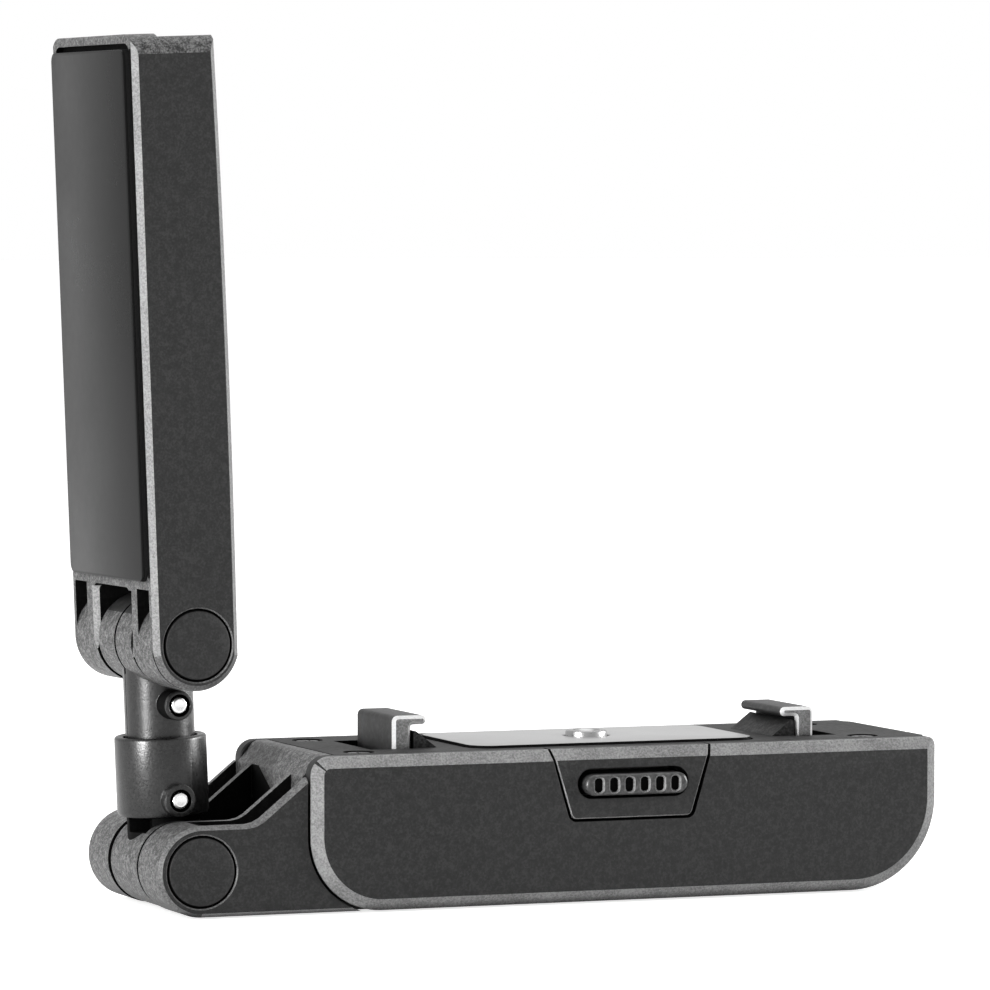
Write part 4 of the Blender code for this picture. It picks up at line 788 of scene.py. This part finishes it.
def deck_plate():
    depth, below, above = COVER_BACK - GAP, DECK_BOTTOM - OVER, DECK_TOP + OVER
    outline = rounded_box(DECK_LEFT, FRAME_RIGHT, -depth, depth, DECK_RADII, steps=DECK_STEPS)
    body = shown("deck_plate", prism_z(outline, DECK_BOTTOM, DECK_TOP), DECK, SHADE_AND_JOINT)
    half_x, half_y = PLATE[0] / 2 + GAP, PLATE[1] / 2 + GAP
    seat = rounded_box(-half_x, half_x, -half_y, half_y, (PLATE[2] + GAP,) * 4)
    # The plate's seat, the holes and the claw openings are painted dark as shade
    cut(body, prism_z(seat, PLATE_BOTTOM - GAP, above), look=SHADE_AND_JOINT)
    cut(body, rod_z(STUD_FOOT + GAP, below, DECK_TOP, steps=HOLE_STEPS), look=SHADE_AND_JOINT)
    for x, y in SCREWS:
        cut(body, rod_z(SCREW_BORE, below, DECK_TOP, x, y, steps=24), look=SHADE_AND_JOINT)
        cut(body, rod_z(SCREW_SEAT, DECK_TOP - SEAT_FLOOR, above, x, y, PIN_STEPS), look=SHADE_AND_JOINT)
    for side in (-1, 1):
        inner = CLAW_INNER - GAP
        ends = sorted((side * inner, side * (CLAW_OUTER + CLAW_ROOM)))
        cut(body, block(*ends, -CLAW_HALF - GAP, CLAW_HALF + GAP, below, above), look=SHADE_AND_JOINT)
        add(body, claw_ramp(side, inner))
    return wear(soften(body), "base", "shell_plastic", "deck_plate")


def contact_plate():
    half_x, half_y, radius = PLATE[0] / 2, PLATE[1] / 2, PLATE[2]
    levels = ((PLATE_BOTTOM, 0.0), (PLATE_TOP - 0.12, 0.0), (PLATE_TOP - 0.03, 0.04), (PLATE_TOP, 0.13))
    rings = []
    for z, inset in levels:
        outline = rounded_box(-half_x, half_x, -half_y, half_y, (radius,) * 4, inset, (10, 10, 10, 10))
        rings.append([(x, y, z) for x, y in outline])
    # The side bands of the plate are painted dark as shade
    body = shown("contact_plate", loft(rings, (1, 1)), BRUSHED, SHADE_AND_JOINT)
    low, high, flare = PLATE_TOP - 0.1, PLATE_TOP + 0.2, 0.3
    cut(body, rod_z(PLATE_HOLE, PLATE_BOTTOM - OVER, PLATE_TOP + OVER, steps=TURNED_STEPS),
        turned([(0, low), (PLATE_HOLE, low), (PLATE_HOLE + flare, high), (0, high)]))
    return wear(soften(body), "base", "brushed_plate", "contact_plate")


def locating_stud():
    """A stud with a rounded rim and a shallow dish in its top."""
    foot, top = DECK_BOTTOM + GAP, PLATE_TOP + STUD_RISE
    crown = ((STUD_RADIUS, -0.22), (2.24, -0.08), (2.1, 0.0), (1.62, 0.0), (1.5, -0.05), (1.15, -0.36),
             (1.0, -0.4), (0, -0.4))
    profile = [(0, foot), (STUD_FOOT, foot), (STUD_FOOT, PLATE_BOTTOM), (STUD_RADIUS, PLATE_BOTTOM)]
    profile += [(radius, top + down) for radius, down in crown]
    body = shown("locating_stud", turned(profile), STUD)
    return wear(soften(body), "base", "bright_steel", "locating_stud")


def screw_profile(head_top):
    neck, foot = DECK_TOP - 0.8, RIM_TOP - SCREW_DEPTH
    rim = ((SCREW_HEAD, -0.2), (SCREW_HEAD - 0.06, -0.07), (SCREW_HEAD - 0.2, 0.0), (0, 0.0))
    profile = [(0, foot), (SCREW_SHANK - 0.2, foot), (SCREW_SHANK, foot + 0.4), (SCREW_SHANK, neck),
               (SCREW_HEAD, neck)]
    return profile + [(radius, head_top + down) for radius, down in rim]


def cross_bar(head_top, turn):
    """A cutter for one bar of a screw's cross recess."""
    bar = block(-CROSS_REACH, CROSS_REACH, -CROSS_HALF, CROSS_HALF, head_top - CROSS_DEPTH, head_top + OVER)
    bmesh.ops.rotate(bar, cent=(0, 0, 0), matrix=Matrix.Rotation(turn, 3, "Z"), verts=bar.verts[:])
    return bar


def deck_screws():
    """The screws, each with its cross turned a different way."""
    head_top, first = DECK_TOP - GAP / 3, 0.4
    for number, (x, y) in enumerate(SCREWS, 1):
        body = shown(f"deck_screw_{number}", turned(screw_profile(head_top), PIN_STEPS), DULL_STEEL)
        for turn in (first + number, first + math.pi / 2 + number):
            cut(body, cross_bar(head_top, turn))
        wear(soften(body), "base", "bright_steel", f"deck_screw_{number}",
             place=Matrix.Translation(Vector((x, y, 0)) * MM))


def cap(node, half_depth, side, body, place):
    """A round cap with a broken rim, its face very slightly dished."""
    rim = ((CAP_RADIUS, -0.3), (CAP_RADIUS - 0.04, -0.14), (CAP_RADIUS - 0.12, -0.04),
           (CAP_RADIUS - 0.22, 0.0), (2.2, -0.02), (0, -0.03))
    inner = half_depth - CAP_DEPTH
    profile = [(0, inner), (CAP_RADIUS, inner)] + [(radius, half_depth + down) for radius, down in rim]
    # The cap's side and broken rim are painted dark as shade in the groove round it, and its face gets the
    # darker face copy
    bm = facing(turned(profile, ROUND_STEPS, (1, 1, 1, 0, 0, 0)), side)
    piece = shown(node, along_y(bm), SHADED_FACE, SHADE_AND_JOINT)
    wear(soften(piece), body, "cover_plastic", node, place=place)


def claw_outline(top):
    """A hook with a lip at its top and a slide under the deck."""
    lip_under, lip_round = top - CLAW_LIP, CLAW_LIP / 2
    outer, far = CLAW_OUTER, CLAW_OUTER + CLAW_SHOULDER
    points = [(far, CLAW_FOOT), (far, RIM_TOP), (outer, RIM_TOP)]
    points += arc(outer - CLAW_CORNER, top - CLAW_CORNER, CLAW_CORNER, 0, 90, steps=5)
    points += arc(CLAW_INNER - CLAW_REACH + lip_round, top - lip_round, lip_round, 90, 270, steps=8)
    points += [(CLAW_INNER + x, lip_under + z) for x, z in ((-0.25, 0.0), (-0.07, -0.07), (0.0, -0.25))]
    return points + [(CLAW_INNER, RIM_TOP), (GAP, RIM_TOP), (GAP, CLAW_FOOT)]


def wedge_room():
    """Room in the slides for the wedge, wide at the front and narrow at the rear."""
    flank = [(WEDGE_WIDE, -WEDGE_END), (WEDGE_WIDE, -WEDGE_BEND), (WEDGE_NARROW, WEDGE_BEND),
             (WEDGE_NARROW, WEDGE_END)]
    return prism_z(flank + [(-x, y) for x, y in reversed(flank)], CLAW_FOOT - OVER, RIM_TOP + OVER)


def claw(name, side, height, body):
    outline = [(side * x, z) for x, z in claw_outline(DECK_TOP + height)]
    # The chamfers are painted white as highlights, the front and rear faces take the lighter edge speckle,
    # and faces below the deck keep the claw grey
    piece = shown(name, bevelled_y(outline, CLAW_HALF, CLAW_EDGE), CLAW, WHITE_EDGE_HIGHLIGHT, EDGE_HIGHLIGHT)
    cut(piece, wedge_room())
    paint_sides(piece, EDGE_HIGHLIGHT, CLAW_HALF)
    paint(piece, CLAW, lambda c, n: c.z < DECK_TOP - 1.0)
    return wear(soften(piece), body, "cover_plastic", name)


# Pieces of the post

def knuckle(node, height, half, *looks):
    """A barrel along Y whose chamfers take the second look."""
    outline = arc(0, height, KNUCKLE_RADIUS, 0, 356, steps=89)
    return shown(node, bevelled_y(outline, half, KNUCKLE_EDGE), *looks)


def pin_boss(radius, flat, depth, height):
    """A round boss round a pin, its front edge broken."""
    profile = [(0, -PIN_FACE), (flat, -PIN_FACE), (radius - 0.07, -PIN_FACE + 0.07),
               (radius, -PIN_FACE + 0.25), (radius, -depth), (0, -depth)]
    return along_y(turned(profile), 0, height)


def sleeve():
    """A tube with a broken foot, a round rim and a small step inwards at its top."""
    foot, step = ((-0.5, 0.0), (-0.15, 0.12), (0.0, 0.45)), SLEEVE_TOP - 0.12
    profile = [(0, SLEEVE_BOTTOM)] + [(SLEEVE_RADIUS + r, SLEEVE_BOTTOM + z) for r, z in foot]
    profile += arc(SLEEVE_RADIUS - SLEEVE_RIM, SLEEVE_TOP - SLEEVE_RIM, SLEEVE_RIM, 0, 90, steps=6)
    profile += [(NECK_RADIUS + 0.75, SLEEVE_TOP), (NECK_RADIUS + 0.55, step), (0, step)]
    return turned(profile, ROUND_STEPS)


def swivel_socket():
    # The knuckle's chamfers, the column under the sleeve, the bores and the notch are painted dark as shade,
    # and the seam as a dark joint line
    body = knuckle("swivel_socket", 0, LOWER_HALF, SHELL, SHADE_AND_JOINT, SHADED_TUBE)
    add(body, rod_z(COLUMN_RADIUS, 0, SLEEVE_BOTTOM + 0.1), look=SHADE_AND_JOINT)
    add(body, sleeve(), pin_boss(*LOWER_BOSS, LOWER_PIN), look=SHADED_TUBE)
    above = SLEEVE_TOP + OVER
    cut(body, rod_z(SHAFT_BORE, SHAFT_FLOOR, above, steps=BORE_STEPS),
        rod_z(NECK_RADIUS + GAP, NECK_FLOOR, above, steps=ROUND_STEPS),
        rod_y(PIN_BORE, -PIN_FACE - OVER, 0, 0, LOWER_PIN, PIN_STEPS), look=SHADE_AND_JOINT)
    cut(body, rod_y(BOLT_BORE, -LOWER_HALF - OVER, LOWER_HALF + OVER, steps=HOLE_STEPS))
    notch = block(-KNUCKLE_RADIUS - OVER, *NOTCH)
    seam = groove(0, 0, KNUCKLE_RADIUS, depth=0.15, start=95, end=262, y0=LOWER_HALF - 0.4,
                  y1=LOWER_HALF + 0.3)
    cut(body, notch, seam, look=SHADE_AND_JOINT)
    return wear(soften(body), "socket", "shell_plastic", "swivel_socket", place=SOCKET_PLACE)


def pin(name, y_end, height, body, place):
    """A pin with a small dent in its front end."""
    face, deep = -PIN_FACE - 0.05, PIN_RADIUS - 0.2
    front = ((0, 0.05), (0.42, 0.04), (0.6, 0.0), (0.76, 0.03), (0.86, 0.12), (PIN_RADIUS, 0.25))
    profile = [(radius, face + back) for radius, back in front]
    profile += [(PIN_RADIUS, y_end - 0.2), (deep, y_end), (0, y_end)]
    piece = shown(name, along_y(turned(profile, PIN_STEPS), 0, height), STEEL)
    return wear(soften(piece), body, "bright_steel", name, place=place)


def neck():
    top = POST_LENGTH - NECK_OVERLAP
    profile = [(0, SPIGOT_BOTTOM), (NECK_RADIUS - 0.2, SPIGOT_BOTTOM), (NECK_RADIUS, SPIGOT_BOTTOM + 0.2),
               (NECK_RADIUS, top), (0, top)]
    return turned(profile, ROUND_STEPS)


def knuckle_top(c, n):
    """Whether a face belongs to the upper part of the upper knuckle's round side, which is painted darker as
    shade inside the arm's slot.
    """
    height = c.z - POST_LENGTH
    return height > SHADED_HEIGHT and math.hypot(c.x, height) > KNUCKLE_RADIUS - 0.3


def post_half(name, side):
    # The knuckle's chamfers and the bores are painted dark as shade, and the seam as a dark joint line
    body = knuckle(name, POST_LENGTH, UPPER_HALF, SHELL, SHADE_AND_JOINT, SHADED_TUBE, SHADED_FACE)
    add(body, neck(), look=SHADED_TUBE)
    if side < 0:
        # The front boss's side is painted dark as a shadow under the arm, and its front face gets the tube
        # grey
        add(body, pin_boss(*UPPER_BOSS, UPPER_PIN), look=SHADE_AND_JOINT)
        paint(body, SHADED_TUBE, lambda c, n: c.y < -PIN_FACE + 0.3)
    cut(body, rod_z(SHAFT_BORE, SPIGOT_BOTTOM - OVER, SHAFT_TOP, steps=BORE_STEPS), look=SHADE_AND_JOINT)
    cut(body, rod_y(BOLT_BORE, -UPPER_HALF - OVER, UPPER_HALF + OVER, 0, POST_LENGTH, HOLE_STEPS))
    cut(body, rod_y(PIN_BORE, -PIN_FACE - OVER, 3.5, 0, UPPER_PIN, PIN_STEPS), look=SHADE_AND_JOINT)
    far, seam = 20.0, 0.07
    ends = sorted((side * seam, -side * far))
    line = groove(0, POST_LENGTH, KNUCKLE_RADIUS, depth=0.2, start=100, end=300, y0=-0.22, y1=0.22)
    cut(body, block(-far, far, *ends, 0, POST_LENGTH + far), line, look=SHADE_AND_JOINT)
    paint(body, SHADED_FACE, knuckle_top)
    return wear(soften(body), "post", "shell_plastic", name, place=POST_PLACE)


# Pieces of the arm

def arm_outline():
    """Round at the hinge, flat on the pad's side and slightly bowed on the open side."""
    low = math.degrees(math.asin(OPEN_SIDE / END_RADIUS))
    points = arc(0, 0, END_RADIUS, 180, 270 + low, steps=60)
    steps = 12
    for i in range(1, steps + 1):
        share = i / steps
        points.append((OPEN_SIDE - TOP_TAPER * share + 4 * BOW * share * (1 - share), ARM_LENGTH * share))
    return points + [(-PAD_SIDE, ARM_LENGTH)]


def top_corner(side, reach):
    """Takes the corner off the arm's top in a round."""
    y, z = ARM_HALF - TOP_RADIUS, ARM_LENGTH - TOP_RADIUS
    outline = arc(y, z, TOP_RADIUS, 0, 90, steps=14)
    outline += [(y, z + reach), (y + reach, z + reach), (y + reach, z)]
    return prism_x([(side * across, up) for across, up in outline], -reach, reach)


def clevis_edge(side, inner):
    """A three-sided bar along the slot's edge: down the flank and, growing thinner, round the barrel. Where
    it is cut, the faces it leaves get a painted highlight.
    """
    path = [(-PAD_SIDE, CLEVIS_TOP - 0.3, 180.0, CLEVIS_CHAMFER), (-PAD_SIDE, 0.0, 180.0, CLEVIS_CHAMFER)]
    steps, pitch = 6, 2.5
    for i in range(1, steps):
        turn = 180.0 + pitch * i
        x, z = arc(0, 0, END_RADIUS, turn, turn, steps=1)[0]
        path.append((x, z, turn, CLEVIS_CHAMFER * (1 - i / steps)))
    more, rings = 0.4, []
    for x, z, turn, width in path:
        nx, nz = math.cos(math.radians(turn)), math.sin(math.radians(turn))
        section = ((more, inner + width + more), (-width - more, inner - more), (more, inner - more))
        rings.append([(x + out * nx, side * y, z + out * nz) for out, y in section])
    return loft(rings)


def barrel_pocket(near, far, *ends):
    """An opening beside the clevis, round under the hinge's barrel."""
    outline = [(near, 0)] + arc(0, 0, POCKET_RADIUS, 180, 0, steps=48)
    outline += [(far, 0), (far, CLEVIS_TOP), (near, CLEVIS_TOP)]
    return prism_y(outline, *ends)


def pad_recess(body):
    """The flat seat of the pad, and a thin strip of painted shadow on each side of it."""
    half, top, out = PAD_WIDTH / 2 + GAP, PAD_TOP + RECESS_OVER, -PAD_SIDE - OVER
    seat = rounded_box(-half, half, PAD_BOTTOM - 0.03, top, (PAD_RADIUS + GAP,) * 4)
    cut(body, prism_x(seat, out, -PAD_SIDE + PAD_RECESS), look=SHADE_AND_JOINT)
    for side in (-1, 1):
        ends = sorted((side * (half - 0.1), side * (ARM_HALF - ARM_EDGE - 0.02)))
        cut(body, block(out, -PAD_SIDE + 0.02, *ends, PAD_BOTTOM + 0.4, top - 0.6), look=SHADE_AND_JOINT)


def lug_chamfer(c, n):
    """Whether a face belongs to the chamfer round the lower half of an arm lug."""
    outside = abs(c.y) > ARM_HALF - ARM_EDGE and math.hypot(c.x, c.z) > END_RADIUS - 0.8
    return 0.3 < abs(n.y) < 0.95 and outside and c.z < STRIP_END


def arm_body():
    solid = bevelled_y(arm_outline(), ARM_HALF, ARM_EDGE)
    body = shown("arm_body", solid, SHELL, EDGE_HIGHLIGHT, SHADED_FACE, SHADE_AND_JOINT, SOFT_EDGE_HIGHLIGHT)
    near, far = -END_RADIUS - OVER, OPEN_SIDE + BOW + OVER
    cut(body, top_corner(-1, far), top_corner(1, far))
    channel, inner = ARM_HALF - ARM_WALL, UPPER_HALF + GAP
    cut(body, block(-PAD_SIDE + CHANNEL_FLOOR, far, -channel, channel, CHANNEL_START, ARM_LENGTH - TOP_WALL),
        block(-PAD_SIDE + TOP_FLOOR, far, -channel, channel, CHANNEL_START, ARM_LENGTH + OVER))
    slot = rounded_box(-inner, inner, near, CLEVIS_TOP, CLEVIS_RADII, steps=(1, 1, 6, 6))
    # The slot and the pockets are painted dark as shade; the round face under the barrel keeps the shell grey
    cut(body, prism_x(slot, near, far), look=SHADE_AND_JOINT)
    for side in (-1, 1):
        ends = sorted((side * (inner + CLEVIS_RIB), side * channel))
        cut(body, barrel_pocket(near, far, *ends), look=SHADE_AND_JOINT)
    paint(body, SHELL, lambda c, n: abs(math.hypot(c.x, c.z) - POCKET_RADIUS) < 0.1 and c.z > 0)
    cut(body, clevis_edge(-1, inner), clevis_edge(1, inner), look=EDGE_HIGHLIGHT)
    # The grooves are dark joint lines, the bores are painted dark as shade, and the cones round the caps are
    # a painted highlight ring
    line = -ARM_HALF + ARM_EDGE
    cut(body, groove(0, 0, END_RADIUS, depth=0.12, start=196, end=290, y0=-inner - 0.45, y1=-inner + 0.05),
        groove(0, 0, END_RADIUS, depth=0.1, start=186, end=280, y0=line, y1=line + 0.3),
        *hinge_bores(ARM_HALF), look=SHADE_AND_JOINT)
    cut(body, *seat_rims(ARM_HALF), look=SOFT_EDGE_HIGHLIGHT)
    pad_recess(body)
    # The chamfers round the lugs get the soft painted highlight, and flat front and back faces the darker
    # face copy as painted shade
    paint(body, SOFT_EDGE_HIGHLIGHT, lug_chamfer)
    paint_sides(body, SHADED_FACE, ARM_HALF)
    return wear(soften(body), "arm", "shell_plastic", "arm_body", place=ARM_PLACE)


def pad_layer(name, back, thickness, edge, look, slot):
    half = PAD_WIDTH / 2
    x = -PAD_SIDE - back
    face = x - thickness
    rings = []
    for at, inset in ((x, 0.0), (face + edge, 0.0), (face + edge * 0.3, edge * 0.3), (face, edge)):
        outline = rounded_box(-half, half, PAD_BOTTOM, PAD_TOP, (PAD_RADIUS,) * 4, inset)
        rings.append([(at, y, z) for y, z in outline])
    piece = shown(name, loft(rings), look)
    return wear(soften(piece), "arm", slot, name, place=ARM_PLACE)


base_frame()
front_cover()
rear_cover()
button_bezel()
release_button()
deck_plate()
contact_plate()
locating_stud()
deck_screws()
claw("claw_left", -1, LEFT_HEIGHT, "left_claw")
claw("claw_right", 1, RIGHT_HEIGHT, "right_claw")
base_place = Matrix.Translation(HINGE * MM)
for label, side in (("front", -1), ("rear", 1)):
    cap(f"base_hinge_cap_{label}", HALF_DEPTH, side, "base", base_place)
    cap(f"arm_hinge_cap_{label}", ARM_HALF, side, "arm", ARM_PLACE)
swivel_socket()
pin("swivel_pin_lower", LOWER_PIN_END, LOWER_PIN, "socket", SOCKET_PLACE)
post_half("post_front", -1)
post_half("post_rear", 1)
pin("swivel_pin_upper", UPPER_PIN_END, UPPER_PIN, "post", POST_PLACE)
arm_body()
pad_layer("adhesive_foam", -0.5, 0.88, 0.1, FOAM, "foam_black")
pad_layer("pad_film", back=0.4, thickness=0.2, edge=0.06, look=FILM, slot="film_grey")

hidden = {"bolt": STEEL, "nut": STEEL, "washer": SPRING, "spring": SPRING, "wedge": NYLON, "shaft": STEEL}
for name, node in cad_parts.items():
    if node.hide_render:
        continue
    look = NYLON if name == "swivel_washer" else next(hidden[key] for key in hidden if key in name)
    node.data.materials.clear()
    node.data.materials.append(look)


# Studio

# Name, azimuth and elevation in degrees, width and height in metres, watts, and whether only gloss sees it
LAMPS = (("key_left", -69.0, 9.0, 0.2, 0.5, 4.8, False),
         ("gloss_left", -66.0, 3.0, 0.12, 0.12, 7.0, True),
         ("rim_right", 97.0, 14.0, 0.2, 0.5, 3.0, False),
         ("gloss_right", 73.0, 9.0, 0.12, 0.2, 5.0, True),
         ("top_soft", 150.0, 70.0, 0.5, 0.5, 1.8, False))
LAMP_DISTANCE, LAMP_AIM = 0.7, Vector((-0.012, 0.0, 0.04))
CAMERA_AZIMUTH, CAMERA_ELEVATION, CAMERA_ROLL = [math.radians(angle) for angle in (-21.7, 2.7, -0.07)]
CAMERA_LENS, CAMERA_DISTANCE, CAMERA_AIM = 234.8, 0.7, Vector((-0.01075, 0.0, 0.04326))
SKY_STRENGTH = 0.38
FLOOR_SIZE, FLOOR_DROP = 6.0, 0.0002


def seen(nodes, links, otherwise):
    """1 for what the camera, gloss and glass see, and another strength for light on the object."""
    path = nodes.new("ShaderNodeLightPath")
    total = path.outputs["Is Camera Ray"]
    for name in ("Is Glossy Ray", "Is Transmission Ray"):
        either = nodes.new("ShaderNodeMath")
        either.operation = "MAXIMUM"
        links.new(total, either.inputs[0])
        links.new(path.outputs[name], either.inputs[1])
        total = either.outputs[0]
    out = nodes.new("ShaderNodeMapRange")
    out.inputs["To Min"].default_value = otherwise
    out.inputs["To Max"].default_value = 1.0
    links.new(total, out.inputs["Value"])
    return out.outputs["Result"]


def sky():
    world = bpy.data.worlds.new("studio")
    bpy.context.scene.world = world
    world.use_nodes = True
    nodes, links = world.node_tree.nodes, world.node_tree.links
    back = nodes["Background"]
    back.inputs["Color"].default_value = (1.0, 1.0, 1.0, 1.0)
    links.new(seen(nodes, links, SKY_STRENGTH), back.inputs["Strength"])


def towards(azimuth, elevation):
    """The direction from the object to a place in the studio; azimuth 0 is the front, 90 the right."""
    return Vector((math.sin(azimuth) * math.cos(elevation), -math.cos(azimuth) * math.cos(elevation),
                   math.sin(elevation)))


def lamp(name, azimuth, elevation, width, height, power, gloss_only):
    back = towards(math.radians(azimuth), math.radians(elevation))
    light = bpy.data.lights.new(name, "AREA")
    light.shape = "RECTANGLE"
    light.size, light.size_y = width, height
    light.energy = power
    thing = placed(name, light)
    thing.location = LAMP_AIM + back * LAMP_DISTANCE
    thing.rotation_mode = "QUATERNION"
    thing.rotation_quaternion = (-back).to_track_quat("-Z", "Y")
    thing.visible_diffuse = not gloss_only


def floor():
    """A white floor that also glows for the camera, so that it has no edge against the sky."""
    bm = bmesh.new()
    bmesh.ops.create_grid(bm, x_segments=1, y_segments=1, size=FLOOR_SIZE)
    t = Tree("floor_white")
    t.set(Base_Color=(0.8, 0.8, 0.8, 1.0), Roughness=0.9, Specular_IOR_Level=0.1)
    t.link(seen(t.nodes, t.links, 0.0), t.shader.inputs["Emission Strength"])
    t.set(Emission_Color=(0.75, 0.75, 0.75, 1.0))
    thing = finish("floor", mesh_of(bm, "floor"), t.material)
    thing.location.z = -FLOOR_DROP


def camera():
    """A long lens at the front left, slightly above the base."""
    ahead = -towards(CAMERA_AZIMUTH, CAMERA_ELEVATION)
    right = Vector((math.cos(CAMERA_AZIMUTH), math.sin(CAMERA_AZIMUTH), 0.0))
    up = right.cross(ahead)
    rolled_right = right * math.cos(CAMERA_ROLL) - up * math.sin(CAMERA_ROLL)
    rolled_up = right * math.sin(CAMERA_ROLL) + up * math.cos(CAMERA_ROLL)
    data = bpy.data.cameras.new("camera")
    data.lens = CAMERA_LENS
    data.clip_start, data.clip_end = 0.01, 20.0
    thing = placed("camera", data)
    turn = Matrix((rolled_right, rolled_up, -ahead)).transposed().to_4x4()
    thing.matrix_world = Matrix.Translation(CAMERA_AIM - ahead * CAMERA_DISTANCE) @ turn
    bpy.context.scene.camera = thing


sky()
floor()
camera()
for row in LAMPS:
    lamp(*row)
bpy.context.scene.view_settings.view_transform = "Standard"
